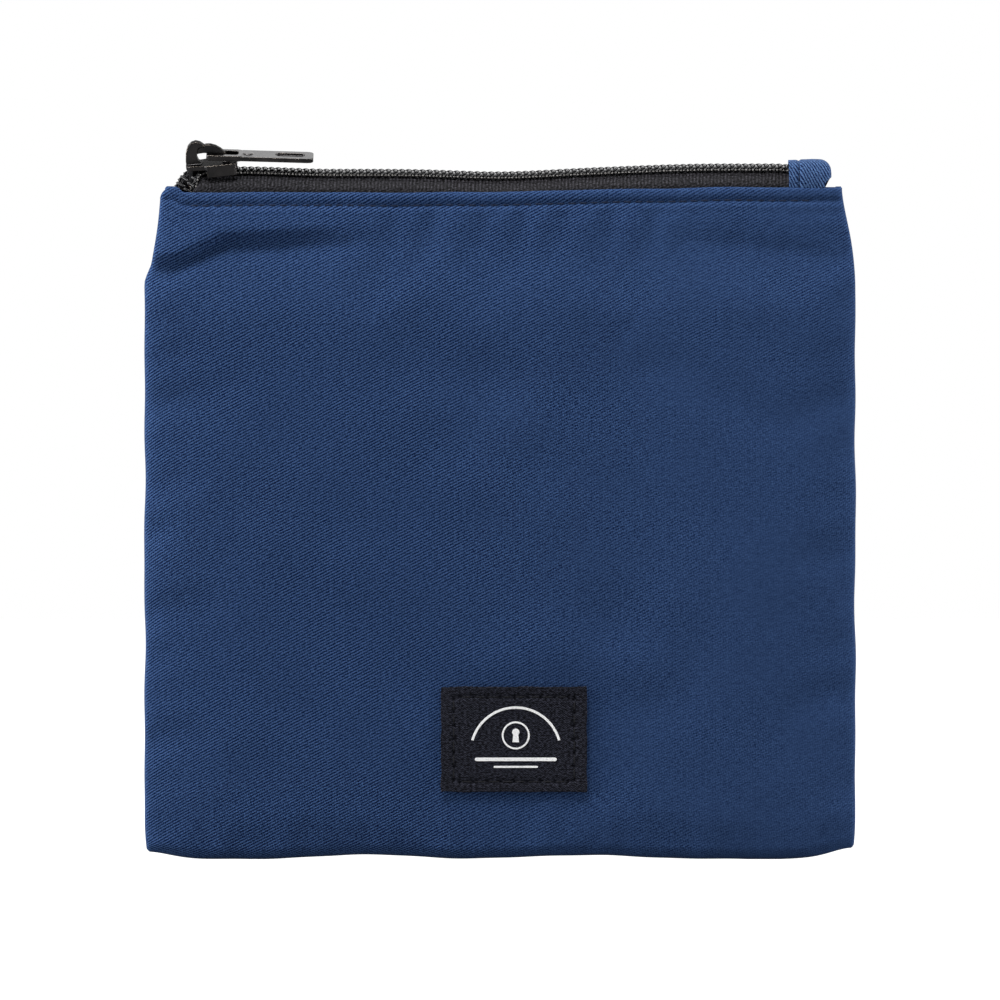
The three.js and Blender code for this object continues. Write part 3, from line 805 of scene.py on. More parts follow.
def make_panel(side):
    builder = Builder()
    middle, weave = panel_grid(side)
    builder.sheet(middle, TWILL, weave)
    return builder.make(SIDE_NAME[side] + "_twill", twill, SIDE_NAME[side] + "_panel")


simulate_cloth()
cloth = {side: make_panel(side) for side in SIDE_NAME}


def surface_reader(piece, side=FRONT):
    """Gives a function that finds the y of the piece's surface at x, z, seen from its own side."""
    tree = BVHTree.FromPolygons(
        [vertex.co / MM for vertex in piece.data.vertices],
        [polygon.vertices for polygon in piece.data.polygons],
    )

    def read(x, z):
        hit = tree.ray_cast(Vector((x, side * FAR_OUT, z)), Vector((0, -side, 0)))[0]
        return hit.y if hit is not None else side * MOUTH_DEPTH
    return read


cloth_surface = {side: surface_reader(piece, side) for side, piece in cloth.items()}


# ---------------------------------------------------------------- zip

SPLIT_X = SLIDER_X - 1.9
STRAND_SPREAD = 1.75
CHAIN_LEFT = -77.0
CHAIN_RIGHT = tab_high.x - 1.5
COIL_HEAD = -0.62
COIL_HEEL = 2.6
STRAND_MIDDLE = (COIL_HEAD + COIL_HEEL) / 2
STRAND_CENTRE_N = 0.9
DIVE = {FRONT: (math.radians(64), -0.5, 3.0), REAR: (math.radians(62), 0.5, 6.0)}
TWIST = {FRONT: math.radians(40), REAR: math.radians(-45)}
REAR_SINK = 0.9


def chain_lift(x):
    """The chain stands up by the slider, sags in the middle and climbs to the end tab."""
    x = np.asarray(x, float)
    by_slider = 0.55 * (1 - smooth(-58, -38, x))
    return by_slider - 0.15 - 0.6 * bump(-1, 13, x) + 1.2 * smooth(5, 50, x) - 0.4 * smooth(62, 68, x)


def strand_path(side, x):
    """Beyond the slider a strand dives into the corner of the mouth: its place, drop and slope."""
    steep, begin, end = DIVE[side]
    table = np.arange(0, 14, 0.05)
    slope = steep * smooth(begin, end, table)
    run = np.concatenate([[0], np.cumsum(np.cos(slope[:-1]) * 0.05)])
    fall = np.concatenate([[0], np.cumsum(np.sin(slope[:-1]) * 0.05)])
    beyond = np.clip(SPLIT_X - x, 0, None)
    place = np.where(x < SPLIT_X, SPLIT_X - np.interp(beyond, table, run), x)
    sink = REAR_SINK * smooth(0, 4, beyond) if side == REAR else 0
    return place, np.interp(beyond, table, fall) + sink, np.interp(beyond, table, slope)


def on_strand(side, x, out, n):
    """Points of one half of the zip: x along it, out from the chain's middle line, n above the tape."""
    x, out, n = np.broadcast_arrays(np.asarray(x, float), out, n)
    place, fall, slope = strand_path(side, x)
    twist = TWIST[side] * smooth(0.5, 6.0, SPLIT_X - x)
    spread = STRAND_SPREAD * smooth(0, 1, (SLIDER_X - x) / 5)
    cr, sr = across_axis[1], across_axis[2]
    across = np.stack([-sr * np.sin(slope), cr + 0 * slope, sr * np.cos(slope)], axis=-1)
    normal = np.stack([-cr * np.sin(slope), -sr + 0 * slope, cr * np.cos(slope)], axis=-1)
    turn_c, turn_s = np.cos(twist)[..., None], np.sin(twist)[..., None]
    outward_axis = side * (across * turn_c - side * normal * turn_s)
    top_axis = normal * turn_c + side * across * turn_s
    middle_s = side * (STRAND_MIDDLE + spread)
    y = chain_origin[1] + middle_s * cr - STRAND_CENTRE_N * sr
    z = chain_origin[2] + middle_s * sr + STRAND_CENTRE_N * cr + chain_lift(x) - fall
    centre = np.stack([place, y, z], axis=-1)
    sideways = (out - STRAND_MIDDLE)[..., None] * outward_axis
    return centre + sideways + (n - STRAND_CENTRE_N)[..., None] * top_axis


def make_coil(side):
    """One row of nylon wire, wound flat: straight at the heads that mesh, slanting on at each heel."""
    turns = int((CHAIN_RIGHT - CHAIN_LEFT) / COIL_PITCH)
    steps = 24
    turn = np.arange(turns * steps + 1) / steps
    angle = 2 * np.pi * turn
    phase = 0.0 if side == FRONT else 0.5
    advance = np.floor(turn) + smooth(0.3, 0.7, turn - np.floor(turn))
    x = CHAIN_LEFT + COIL_PITCH * (advance + phase)
    reach_out = STRAND_MIDDLE - COIL_HEAD - COIL_WIRE
    low_n, high_n = TAPE / 2 + COIL_WIRE, COIL_TOP_N - COIL_WIRE
    c, s = np.cos(angle), np.sin(angle)
    out = STRAND_MIDDLE - reach_out * np.sign(c) * np.abs(c) ** 0.55
    n = (low_n + high_n) / 2 - (high_n - low_n) / 2 * np.sign(s) * np.abs(s) ** 0.6
    builder = Builder()
    weave = np.stack([x, angle, 0 * x], axis=1)
    builder.tube(on_strand(side, x, out, n), COIL_WIRE, 8, reference=(1, 0.02, 0.01), weave=weave)
    return builder.make(SIDE_NAME[side] + "_coil", nylon, SIDE_NAME[side] + "_zip_coil")


def make_coil_thread(side):
    """Two rows of sewing thread, on top and along the heels, that hop over the wire and dip between."""
    builder = Builder()
    x = np.arange(CHAIN_LEFT + 1, CHAIN_RIGHT, COIL_PITCH / 12)
    phase = 0.0 if side == FRONT else 0.5
    hop = 0.5 + 0.5 * np.cos(2 * np.pi * ((x - CHAIN_LEFT) / COIL_PITCH - phase))
    twice = 0.5 + 0.5 * np.cos(4 * np.pi * ((x - CHAIN_LEFT) / COIL_PITCH - phase))
    top_row = (1.5 + 0 * x, COIL_TOP_N - 0.5 + 0.35 * hop, 0 * x)
    # painted glint: the heel row turns pale twice a pitch, fully on the front strand and faintly on the
    # rear
    painted_glint_share = 1.0 if side == FRONT else 0.15
    heel_row = (COIL_HEEL - 0.5 + 0.66 * twice ** 2, 0.75 + 0.25 * twice, painted_glint_share * twice ** 2)
    for out, n, painted_glint in (top_row, heel_row):
        points = on_strand(side, x, out, n)
        builder.tube(points, COIL_THREAD_RADIUS, 6, weave=np.stack([x, painted_glint, 0 * x], axis=1))
    name = SIDE_NAME[side]
    return builder.make(name + "_coil_sewing", coil_thread, name + "_coil_thread")


def make_cord(side):
    """The filler cord that the coil is wound round."""
    builder = Builder()
    x = np.arange(CHAIN_LEFT + 0.5, CHAIN_RIGHT, 0.5)
    points = on_strand(side, x, 1.3, STRAND_CENTRE_N)
    builder.tube(points, CORD_RADIUS, 8, weave=np.stack([x, 0 * x, 0 * x], axis=1))
    name = SIDE_NAME[side]
    return builder.make(name + "_cord", cord_thread, name + "_coil_cord")


TAPE_TAIL = {
    FRONT: [(-4, 152), (-4.6, 151.4), (-4.85, 150.6), (-4.9, 149), (-4.85, 146), (-4.8, 143),
            (-4.8, 140.5)],
    REAR: [(4.2, 153.9), (4.7, 153.2), (4.85, 152.2), (4.9, 151), (4.85, 148), (4.8, 144),
           (4.8, 142)],
}


def make_tape(side):
    """Knitted tape: flat under the coil, then over a soft bend and down behind the fabric edge."""
    x = np.concatenate([np.arange(CHAIN_LEFT, -60, 0.35), np.arange(-60, CHAIN_RIGHT, 1.1)])
    place, fall, _ = strand_path(side, x)
    lift = chain_lift(x) - fall
    under_coil = ((0.12, 0), (1.0, 0), (1.9, 0), (2.5, -0.05), (2.75, -0.5))
    lines = [on_strand(side, x, out, n) for out, n in under_coil]
    open_part = smooth(0, 3, SPLIT_X - x)[:, None]
    closed = on_strand(side, np.maximum(x, SPLIT_X), 3.4 - 0.35 * STRAND_SPREAD * open_part[:, 0], -0.7)
    closed[:, 0] = place
    closed[:, 2] -= fall
    lines.append(closed * (1 - 0.5 * open_part) + on_strand(side, x, 2.75, -0.5) * 0.5 * open_part)
    for y, z in TAPE_TAIL[side]:
        weight = np.clip((z - 143) / 9, 0, 1)
        lines.append(np.stack([place, np.full_like(x, y), z + lift * weight], axis=1))
    middle = refine_rows(np.array(lines), 3)
    step = np.linalg.norm(np.diff(middle, axis=0), axis=2)
    climb = np.concatenate([np.zeros((1, len(x))), np.cumsum(step, axis=0)])
    weave = np.stack([np.broadcast_to(x, climb.shape), climb, 0 * climb], axis=2)
    builder = Builder()
    builder.sheet(middle, TAPE, weave)
    return builder.make(SIDE_NAME[side] + "_tape", tape_knit, SIDE_NAME[side] + "_zip_tape")


def refine_rows(rows, times):
    """Puts smooth extra rows between the given ones."""
    places = np.linspace(0, len(rows) - 1, (len(rows) - 1) * times + 1)
    flat = cubic(rows.reshape(len(rows), -1), places)
    return flat.reshape(len(places), *rows.shape[1:])


pieces = {side: [cloth[side]] for side in SIDE_NAME}
for make_part in (make_coil, make_coil_thread, make_cord, make_tape):
    for side in SIDE_NAME:
        pieces[side].append(make_part(side))


# ---------------------------------------------------------------- stitches

def make_stitch_row(builder, path, surface, side=FRONT, length=1.75, radius=0.17):
    """Separate stitches at a list of ((x, z), direction) on a surface, each dipping in at its ends."""
    t = np.linspace(-1, 1, 9)
    for (x, z), (dx, dz) in path:
        px = x + dx * t * length / 2
        pz = z + dz * t * length / 2
        dip = 0.34 * np.abs(t) ** 4
        out = np.mean([surface(a, b) for a, b in zip(px, pz)]) * side
        y = side * (out + radius * 0.55 - dip)
        points = np.stack([px, y, pz], axis=1)
        width = radius * (1 - 0.35 * np.abs(t) ** 3)
        builder.tube(points, width, 8, reference=(0, 1, 0), weave=points)


def make_top_stitch(side):
    builder = Builder()
    path = []
    for k in range(int(stitch_low.x / STITCH_PITCH), int(stitch_high.x / STITCH_PITCH)):
        x = (k + 0.5) * STITCH_PITCH
        path.append(((x, float(top_edge(side, x)) - STITCH_DROP), (1, 0)))
    make_stitch_row(builder, path, cloth_surface[side], side)
    name = SIDE_NAME[side]
    return builder.make(name + "_top_stitching", navy_thread, name + "_top_stitch")


for side in SIDE_NAME:
    pieces[side].append(make_top_stitch(side))


def make_seam(name, node, points):
    """The hidden lock stitches of a sewn seam, end to end in the seam plane."""
    builder = Builder()
    points = np.asarray(points, float)
    direction = np.gradient(points, axis=0)
    direction /= np.linalg.norm(direction, axis=1, keepdims=True)
    t = np.linspace(-1, 1, 7)
    for centre, along in zip(points, direction):
        stitch = centre + along * t[:, None] * 1.1
        stitch[:, 1] += 0.08 * (1 - t ** 2)
        builder.tube(stitch, SEAM_THREAD_RADIUS, 6, reference=(0, 1, 0), weave=stitch)
    return builder.make(name, navy_thread, node)


for name, direction in (("left", -1), ("right", 1)):
    heights = np.arange(4, 146, STITCH_PITCH)
    line = [(direction * (side_edge(direction, z) - SEAM_INSET), 0, z) for z in heights]
    pieces[REAR].append(make_seam(name + "_seam_stitches", name + "_side_seam", line))
line = [(x, 0, bottom_edge(x) + SEAM_INSET) for x in np.arange(-75, 76, STITCH_PITCH)]
pieces[REAR].append(make_seam("bottom_seam_stitches", "bottom_seam", line))


# ---------------------------------------------------------------- lining

def make_lining(side):
    """Thin cloth inside the twill, and inside the hem and the tape near the mouth."""
    share, height = np.meshgrid(np.linspace(-1, 1, 90), np.linspace(4, 147, 90))
    x, depth, z = panel_surface(side, share, height)
    inset = 1.25 + 1.15 * smooth(134, 140, height)
    x = x * (HALF_WIDTH - SEAM_INSET) / HALF_WIDTH
    ripple = 0.12 * waves(x + 0.4 * z, (17, 11), 71) * waves(z, (29, 19), 72)
    depth = np.maximum(depth - inset + ripple, SEAM_GAP + 0.05)
    middle = np.stack([x, side * depth, z], axis=2)
    weave = np.stack([x, z, 0 * x], axis=2)
    builder = Builder()
    builder.sheet(middle, 0.2, weave)
    name = SIDE_NAME[side] + "_lining"
    return builder.make(name + "_cloth", lining_cloth, name)


for side in SIDE_NAME:
    pieces[side].append(make_lining(side))


# ---------------------------------------------------------------- label

LABEL_MID_X = (label_low.x + label_high.x) / 2
LABEL_MID_Z = (label_low.z + label_high.z) / 2
LABEL_HALF_X = (label_high.x - label_low.x) / 2
LABEL_HALF_Z = (label_high.z - label_low.z) / 2
LABEL_THICKNESS = 0.42
LABEL_STITCH_PITCH = 3.05
LABEL_STITCH_INSET_X = 2.85
LABEL_STITCH_INSET_Z = 2.3


def needle_holes(along):
    """1 at each needle hole of the label's stitching, falling off between the holes."""
    wave = 0.5 + 0.5 * np.cos(2 * np.pi * along / LABEL_STITCH_PITCH)
    return 0.25 + 0.75 * wave ** 4


def label_face(u, v):
    """Middle of the label's ribbon at u, v (each -1..1), lying on the cloth, held by its stitches."""
    u, v = np.broadcast_arrays(np.asarray(u, float), np.asarray(v, float))
    x = LABEL_MID_X + u * (LABEL_HALF_X + 0.12 * waves(v * LABEL_HALF_Z, (9, 5), 81))
    z = LABEL_MID_Z + v * (LABEL_HALF_Z + 0.10 * waves(u * LABEL_HALF_X, (13, 7), 82))
    base = np.vectorize(cloth_surface[FRONT])(x, z)
    from_side = (1 - np.abs(u)) * LABEL_HALF_X
    from_end = (1 - np.abs(v)) * LABEL_HALF_Z
    held = np.maximum(
        bump(LABEL_STITCH_INSET_X, 0.6, from_side) * needle_holes(z - LABEL_MID_Z),
        bump(LABEL_STITCH_INSET_Z, 0.6, from_end) * needle_holes(x - LABEL_MID_X),
    )
    inside = (from_side > LABEL_STITCH_INSET_X - 0.8) & (from_end > LABEL_STITCH_INSET_Z - 0.8)
    raised = LABEL_THICKNESS / 2 + 0.5 - 0.55 * held * inside
    curl = 0.12 * waves(u * LABEL_HALF_X + 3 * v, (21, 12), 83) * np.abs(v) ** 3
    return np.stack([x, base - raised - curl, z], axis=-1)


def make_label():
    u, v = np.meshgrid(np.linspace(-1, 1, 166), np.linspace(-1, 1, 120))
    middle = label_face(u, v)
    weave = np.stack([u * LABEL_HALF_X, v * LABEL_HALF_Z, 0 * u], axis=2)
    builder = Builder()
    builder.sheet(middle, LABEL_THICKNESS, weave)
    return builder.make("woven_label", ribbon, "label")


woven_label = make_label()
label_surface = surface_reader(woven_label)


def make_label_stitches():
    builder = Builder()
    half_x = LABEL_HALF_X - LABEL_STITCH_INSET_X
    half_z = LABEL_HALF_Z - LABEL_STITCH_INSET_Z
    path = []
    for k in range(-5, 5):
        along = (k + 0.5) * LABEL_STITCH_PITCH
        if abs(along) < half_x:
            path += [((LABEL_MID_X + along, LABEL_MID_Z + d * half_z), (1, 0)) for d in (-1, 1)]
        if abs(along) < half_z:
            path += [((LABEL_MID_X + d * half_x, LABEL_MID_Z + along), (0, 1)) for d in (-1, 1)]
    make_stitch_row(builder, path, label_surface, length=2.4, radius=0.13)
    return builder.make("label_stitching", black_thread, "label_stitch")


pieces[FRONT] += [woven_label, make_label_stitches()]


def print_strip(builder, edge_a, edge_b):
    """Ink between two lines of (x, z) points, measured from the label's middle, laid on the ribbon."""
    edge_a, edge_b = np.asarray(edge_a, float), np.asarray(edge_b, float)
    rows = [edge_a + (edge_b - edge_a) * t for t in (0, 0.5, 1)]
    middle = []
    for row in rows:
        spots = row + (LABEL_MID_X, LABEL_MID_Z)
        out = [label_surface(x, z) - 0.05 for x, z in spots]
        middle.append(np.column_stack([spots[:, 0], out, spots[:, 1]]))
    builder.sheet(middle, 0.08, [np.column_stack([row, 0 * row[:, 0]]) for row in rows])


def print_ring(builder, centre, inner, outer):
    angle = np.linspace(0, 2 * np.pi, 73)
    circle = np.column_stack([np.cos(angle), np.sin(angle)])
    print_strip(builder, circle * inner + centre, circle * outer + centre)


def print_bar(builder, centre, length, height):
    """A bar with round ends."""
    x = length / 2 * np.sin(np.linspace(-1, 1, 41) * np.pi / 2)
    past = np.clip(np.abs(x) - (length - height) / 2, 0, None)
    half = np.sqrt(np.clip((height / 2) ** 2 - past ** 2, 1e-4, None))
    lower = np.column_stack([x, -half]) + centre
    upper = np.column_stack([x, half]) + centre
    print_strip(builder, lower, upper)


ARCH_CENTRE = (0.4, -3.0)


def make_print():
    """A plain keyhole in a ring under an arch, with two bars below: a generic sign for a locked bag."""
    builder = Builder()
    eye = np.array((0.4, 0.9))
    print_ring(builder, eye, 2.75, 3.15)
    sweep = np.radians(np.linspace(16, 164, 61))
    arch = np.column_stack([np.cos(sweep), np.sin(sweep)])
    print_strip(builder, arch * 9.9 + ARCH_CENTRE, arch * 10.45 + ARCH_CENTRE)
    z = np.linspace(-1.55, 1.55, 36)
    skirt = 0.75 - 0.1 * (z + 1.55)
    bow = np.sqrt(np.clip(0.82 ** 2 - (z - 0.73) ** 2, 1e-4, None))
    half = np.where(z < 0.2, skirt, bow)
    print_strip(builder, np.column_stack([-half, z]) + eye, np.column_stack([half, z]) + eye)
    print_bar(builder, (0.4, -4.5), 18.5, 0.8)
    print_bar(builder, (0.4, -6.2), 10.0, 0.45)
    return builder.make("label_print", ink, smooth_shading=False)


pieces[FRONT].append(make_print())


# ---------------------------------------------------------------- end tab

TAB_PROFILE = [
    (-5.15, 149.2), (-5.35, 150.5), (-5.5, 152.3), (-5.3, 153.8), (-4.7, 155.2), (-3.5, 156.4), (-1.8, 157),
    (0.4, 157.35), (2.2, 157.3), (3.7, 156.7), (4.8, 155.5), (5.3, 153.8), (5.3, 151),
]


def make_end_tab():
    """A strip of twill folded over the end of the zip: up the front, over the chain, down the back."""
    x0, x1 = tab_low.x + 0.25, tab_high.x + 0.1
    corner, middle_z = 2.3, 152.5
    seam_x = x0 + 2.3
    rounded = 0.7 + 0.3 * np.sin(np.linspace(0.1, np.pi / 2, 14))
    share = np.concatenate([np.linspace(0, 0.7, 30), rounded])
    lines = []
    for y, z in TAB_PROFILE:
        right = x1 - 1.25 * (1 - smooth(152.0, 154.4, z))
        x = x0 + (right - x0) * share
        fold = 0.16 * bump(seam_x, 0.35, x) - 0.12 * smooth(0.2, 0.8, x - seam_x)
        swell = 1 - 0.05 * fold / 0.16 + 0.008 * waves(x, (5.1, 3.3), 91)
        closing = quarter_round((x - (x1 - corner)) / corner)
        height = (z - middle_z) * np.where(z > middle_z, swell * (1 - 0.45 * closing), 1)
        lines.append(np.stack([x, y * swell * (1 - 0.4 * closing), middle_z + height], axis=1))
    middle = refine_rows(np.array(lines), 4)
    step = np.linalg.norm(np.diff(middle, axis=0), axis=2)
    climb = np.concatenate([np.zeros((1, len(share))), np.cumsum(step, axis=0)])
    weave = np.stack([middle[:, :, 0], climb, 0 * climb], axis=2)
    builder = Builder()
    builder.sheet(middle, 0.75, weave)
    return builder.make("folded_end_tab", tab_twill, "end_tab")


folded_tab = make_end_tab()


def make_tab_stitches():
    builder = Builder()
    path = [((tab_low.x + 2.55, z), (0, 1)) for z in (151.4, 153.3)]
    make_stitch_row(builder, path, surface_reader(folded_tab), length=1.4, radius=0.15)
    return builder.make("end_tab_stitching", navy_thread, "end_tab_stitch")


pieces[REAR] += [folded_tab, make_tab_stitches()]


# ---------------------------------------------------------------- slider and pull

def rolled_matrix(x, n=0.0):
    """Places a piece modelled in chain directions at a point of the chain's middle line."""
    axes = Matrix((
        (1, 0, 0, 0),
        (0, across_axis[1], chain_normal[1], 0),
        (0, across_axis[2], chain_normal[2], 0),
        (0, 0, 0, 1),
    ))
    place = Vector(chain_origin) + Vector(chain_normal) * n
    place.x = x
    return Matrix.Translation(place * MM) @ axes


def prism(builder, outline, low, high, flat_axis="n"):
    """A straight block from an outline: (x, s) points raised along n, or (x, n) points across s."""
    count = len(outline)
    points = []
    for level in (low, high):
        for a, b in outline:
            points.append((a, b, level) if flat_axis == "n" else (a, level, b))
    faces = [list(range(count)), list(range(count, 2 * count))[::-1]]
    for i in range(count):
        j = (i + 1) % count
        faces.append([i, i + count, j + count, j])
    builder.add(points, faces)


def mirrored(half):
    return half + [(x, -s) for x, s in reversed(half)]


def solid_object(name, parts, plating=gunmetal):
    """One object from blocks given as (outline, low, high, axis)."""
    builder = Builder()
    for outline, low, high, axis in parts:
        prism(builder, outline, low, high, axis)
    return builder.make(name, plating)


def cast(piece, voxel, smoothing, cutters=()):
    """Melts overlapping blocks into one casting with soft edges, after cutting."""
    merge = piece.modifiers.new("merge", "REMESH")
    merge.mode = "VOXEL"
    merge.voxel_size = voxel * MM
    for cutter in cutters:
        cut = piece.modifiers.new("cut", "BOOLEAN")
        cut.operation = "DIFFERENCE"
        cut.object = cutter
        cut.solver = "EXACT"
    if cutters:
        again = piece.modifiers.new("again", "REMESH")
        again.mode = "VOXEL"
        again.voxel_size = voxel * MM
    soft = piece.modifiers.new("soft", "SMOOTH")
    soft.factor = 0.5
    soft.iterations = smoothing
    bpy.context.view_layer.update()
    apply_modifiers(piece)
    piece.data.polygons.foreach_set("use_smooth", [True] * len(piece.data.polygons))
    for cutter in cutters:
        bpy.data.objects.remove(cutter)


# the slider's outlines from above: (x, s), halves of the plates, then the wedge and one side's walls
TOP_PLATE = [
    (-5.8, 1.5), (-5.55, 2.6), (-4.9, 3.3), (-3.2, 3.6), (-1.6, 4.1),
    (-0.9, 4.7), (0.6, 4.65), (4.7, 4.2), (5.5, 3.8), (5.8, 3.0),
]
BOTTOM_PLATE = [(-5.8, 1.4), (-5.4, 2.6), (-4.6, 3.4), (-0.9, 4.0), (4.9, 3.5), (5.6, 2.8)]
WEDGE = [(-5.4, -0.7), (-5.4, 0.7), (-4.5, 1.2), (-1.2, 0.15), (-1.2, -0.15), (-4.5, -1.2)]
WALL = [(-1.0, 3.6), (-1.0, 4.7), (0.6, 4.65), (4.9, 4.2), (5.6, 3.8), (5.6, 3.4)]
LOW_WALL = [(-0.9, 3.35), (-0.9, 4.0), (4.9, 3.5), (4.9, 3.3)]
# the open bridge from the front: (x, n), the post at its left and the arm that comes down to its right
BRIDGE_POST = [
    (-5.7, 3.0), (-5.75, 4.6), (-5.55, 6.5), (-5.05, 7.7), (-4.2, 8.5), (-3.2, 8.75), (-2.2, 8.45),
    (-1.3, 7.7), (-1.5, 7.35), (-2.3, 7.4), (-2.8, 7.0), (-3.05, 6.3), (-3.1, 5.2), (-2.85, 4.4),
    (-2.1, 3.7), (-1.9, 3.0),
]
BRIDGE_ARM = [
    (-3.4, 7.4), (-1.9, 7.4), (-1.0, 7.85), (0.1, 7.8), (1.3, 7.35), (2.4, 6.6), (3.3, 5.6), (4.0, 4.6),
    (4.5, 3.0), (2.9, 3.0), (2.5, 4.1), (1.8, 4.8), (0.8, 5.45), (-0.3, 5.85), (-1.5, 6.0), (-3.4, 5.9),
]
SLIDER_TILT = math.radians(5)
SLIDER_SEAT = -0.3
PULL_ROLL = math.radians(4)
PULL_DROOP = math.radians(1.7)


def make_slider():
    """Two plates joined by a wedge, with walls along their edges and an open bridge for the pull."""
    parts = [
        (mirrored(TOP_PLATE), 2.6, 3.65, "n"),
        (mirrored(BOTTOM_PLATE), -2.0, -0.9, "n"),
        (WEDGE, -1.2, 2.8, "n"),
    ]
    for d in (-1, 1):
        parts.append(([(x, d * s) for x, s in WALL], 1.0, 2.8, "n"))
        parts.append(([(x, d * s) for x, s in LOW_WALL], -1.0, -0.45, "n"))
    parts.append((BRIDGE_POST, -1.3, 1.3, "s"))
    parts.append((BRIDGE_ARM, -0.95, 0.95, "s"))
    # the slider takes the shaded copy of the plating: painted shade on its top plate
    piece = solid_object("zip_slider", parts, shaded_gunmetal)
    cast(piece, 0.11, 3)
    piece.matrix_world = rolled_matrix(SLIDER_X, SLIDER_SEAT) @ Matrix.Rotation(-SLIDER_TILT, 4, "Y")
    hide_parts("slider_body")
    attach(piece, "slider")


def round_loop(x0, x1, half, corner, count=8):
    """A rounded rectangle from x0 to x1, as (x, s) points."""
    points = []
    for cx, cs, start in ((x1 - corner, half - corner, 0), (x0 + corner, half - corner, 90),
                          (x0 + corner, -half + corner, 180), (x1 - corner, -half + corner, 270)):
        for a in np.radians(np.linspace(start, start + 90, count)):
            points.append((cx + corner * math.cos(a), cs + corner * math.sin(a)))
    return points


def make_pull():
    """A flat pull with an eye round the bridge, a raised dot and a shallow slot near its tip."""
    thick, half_width, heel = 0.5, 2.9, -0.68
    tip = pull_high.x - PIVOT_X
    parts = [
        (round_loop(heel, tip, half_width, 1.2), -thick, thick, "n"),
        (round_loop(7.6, 9.8, 1.1, 1.05), -thick, thick + 0.22, "n"),
        (round_loop(heel, 7.4, half_width, 1.0), -thick - 0.12, thick + 0.12, "n"),
    ]
    piece = solid_object("zip_pull", parts)
    eye = solid_object("eye", [(round_loop(0.62, 6.6, 1.6, 0.9), -3, 3, "n")])
    slot = solid_object("slot", [(round_loop(tip - 8.6, tip - 1.9, 1.25, 1.1), 0.0, 3, "n")])
    cast(piece, 0.1, 3, (eye, slot))
    lean = Matrix.Rotation(PULL_DROOP, 4, "Y") @ Matrix.Rotation(PULL_ROLL, 4, "X")
    piece.matrix_world = rolled_matrix(PIVOT_X, PIVOT_N + 0.25) @ lean
    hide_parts("pull_tab")
    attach(piece, "pull")


make_slider()
make_pull()


# ---------------------------------------------------------------- what moves with what

for piece in pieces[FRONT]:
    open_with_mouth(piece)
for piece in pieces[REAR]:
    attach(piece, "rear_half")


# ---------------------------------------------------------------- studio

PICTURE_WIDTH = 225.35
CAMERA_HEIGHT = 80.9
LENS = 400
SENSOR = 36
FRONT_AIR = 0.08
REAR_AIR = 1.6
FLOOR_HALF = 5.0
FLOOR_DROP = 0.0002
# name, place in metres, size in metres, watts: one soft light above and one low at each side
LIGHTS = (
    ("key", (-0.3, -0.7, 2.0), (0.9, 0.6), 47),
    ("left", (-1.6, -0.24, 0.3), (0.8, 0.8), 39),
    ("right", (1.6, -0.24, 0.3), (0.8, 0.8), 23),
)
LIGHT_TARGET = Vector((0, 0, 0.08))


def make_floor():
    """Pale paper that the camera sees as white as the wall behind it."""
    color = (0.14, 0.14, 0.14)
    nodes = Nodes("pale_paper", color)
    seen = nodes.node("ShaderNodeLightPath", output="Is Camera Ray")
    grain = nodes.grain(3, 2.0, 0.3, 0.7)
    soft = tuple(channel * 0.985 for channel in color)
    paper = nodes.surface(
        Base_Color=nodes.mix(grain, soft, color),
        Roughness=0.95,
        Specular_IOR_Level=0.1,
        Emission_Color=(1, 1, 1),
        Emission_Strength=nodes.scaled(seen, 0.8, 0.2),
    )
    mesh = bpy.data.meshes.new("floor")
    corners = [(x * FLOOR_HALF, y * FLOOR_HALF, 0) for x, y in ((-1, -1), (1, -1), (1, 1), (-1, 1))]
    mesh.from_pydata(corners, [], [(0, 1, 2, 3)])
    mesh.materials.append(paper)
    floor = bpy.data.objects.new("floor", mesh)
    bpy.context.scene.collection.objects.link(floor)
    floor.location.z = -FLOOR_DROP


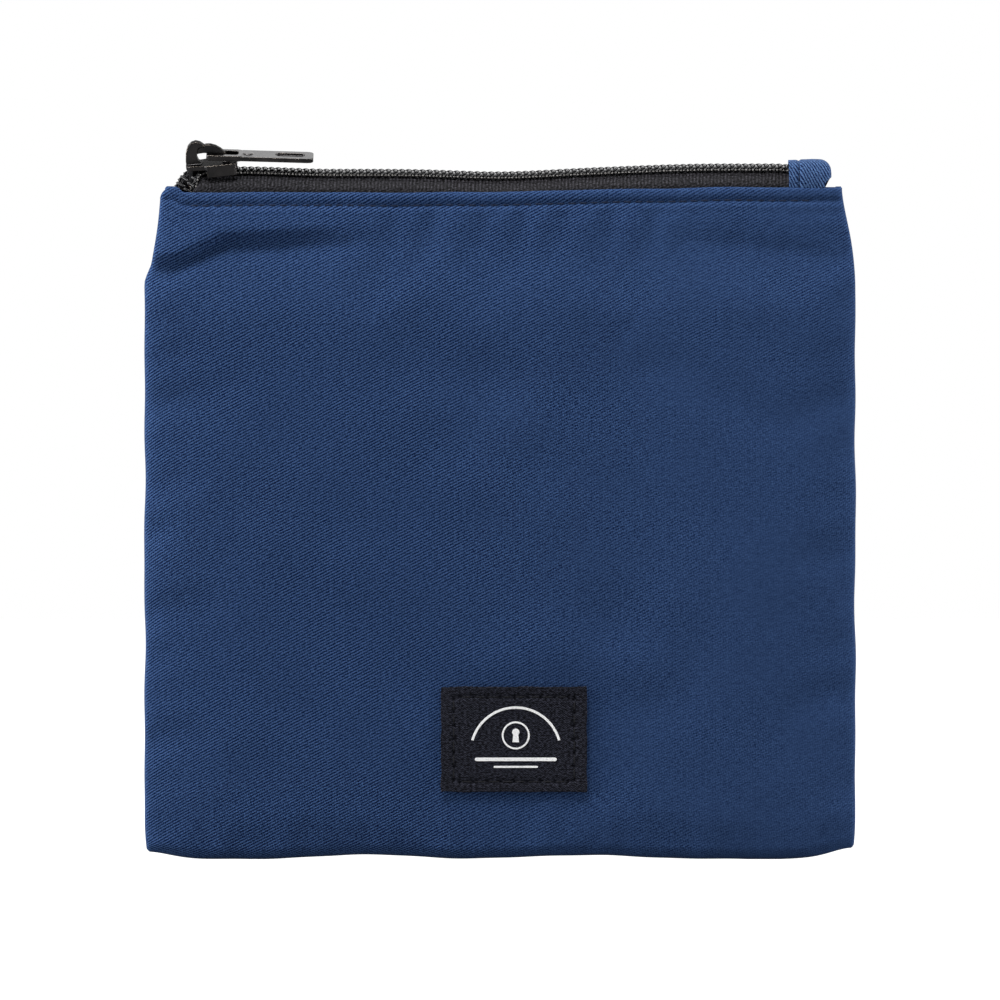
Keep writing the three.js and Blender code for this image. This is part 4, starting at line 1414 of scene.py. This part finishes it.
def area_light(name, place, size, power):
    lamp = bpy.data.lights.new(name, "AREA")
    lamp.shape = "RECTANGLE"
    lamp.size, lamp.size_y = size
    lamp.energy = power
    holder = bpy.data.objects.new(name, lamp)
    holder.location = place
    holder.rotation_euler = (LIGHT_TARGET - Vector(place)).to_track_quat("-Z", "Y").to_euler()
    holder.visible_camera = False
    bpy.context.scene.collection.objects.link(holder)


def make_air():
    """White all round for the camera. As a light it is bright behind the bag and dim in front."""
    world = bpy.data.worlds.new("studio")
    world.use_nodes = True
    tree = world.node_tree

    def ranged(value, low, high, to_low, to_high):
        node = tree.nodes.new("ShaderNodeMapRange")
        for socket, number in zip(node.inputs[1:5], (low, high, to_low, to_high)):
            if isinstance(number, bpy.types.NodeSocket):
                tree.links.new(number, socket)
            else:
                socket.default_value = number
        tree.links.new(value, node.inputs[0])
        return node.outputs[0]

    direction = tree.nodes.new("ShaderNodeTexCoord").outputs["Generated"]
    parts = tree.nodes.new("ShaderNodeSeparateXYZ")
    tree.links.new(direction, parts.inputs[0])
    as_light = ranged(parts.outputs[1], -0.35, 0.5, FRONT_AIR, REAR_AIR)
    seen = tree.nodes.new("ShaderNodeLightPath").outputs["Is Camera Ray"]
    background = tree.nodes["Background"]
    background.inputs["Color"].default_value = (1, 1, 1, 1)
    tree.links.new(ranged(seen, 0, 1, as_light, 1.0), background.inputs["Strength"])
    bpy.context.scene.world = world


def make_studio():
    make_floor()
    make_air()
    for light in LIGHTS:
        area_light(*light)
    camera = bpy.data.cameras.new("camera")
    camera.lens = LENS
    camera.sensor_width = SENSOR
    camera.clip_start, camera.clip_end = 0.05, 30
    holder = bpy.data.objects.new("camera", camera)
    distance = PICTURE_WIDTH * LENS / SENSOR - panel_low.y
    holder.location = (0, -distance * MM, CAMERA_HEIGHT * MM)
    holder.rotation_euler = (math.pi / 2, 0, 0)
    bpy.context.scene.collection.objects.link(holder)
    bpy.context.scene.camera = holder
    bpy.context.scene.view_settings.view_transform = "Standard"
    bpy.context.scene.view_settings.look = "None"


make_studio()
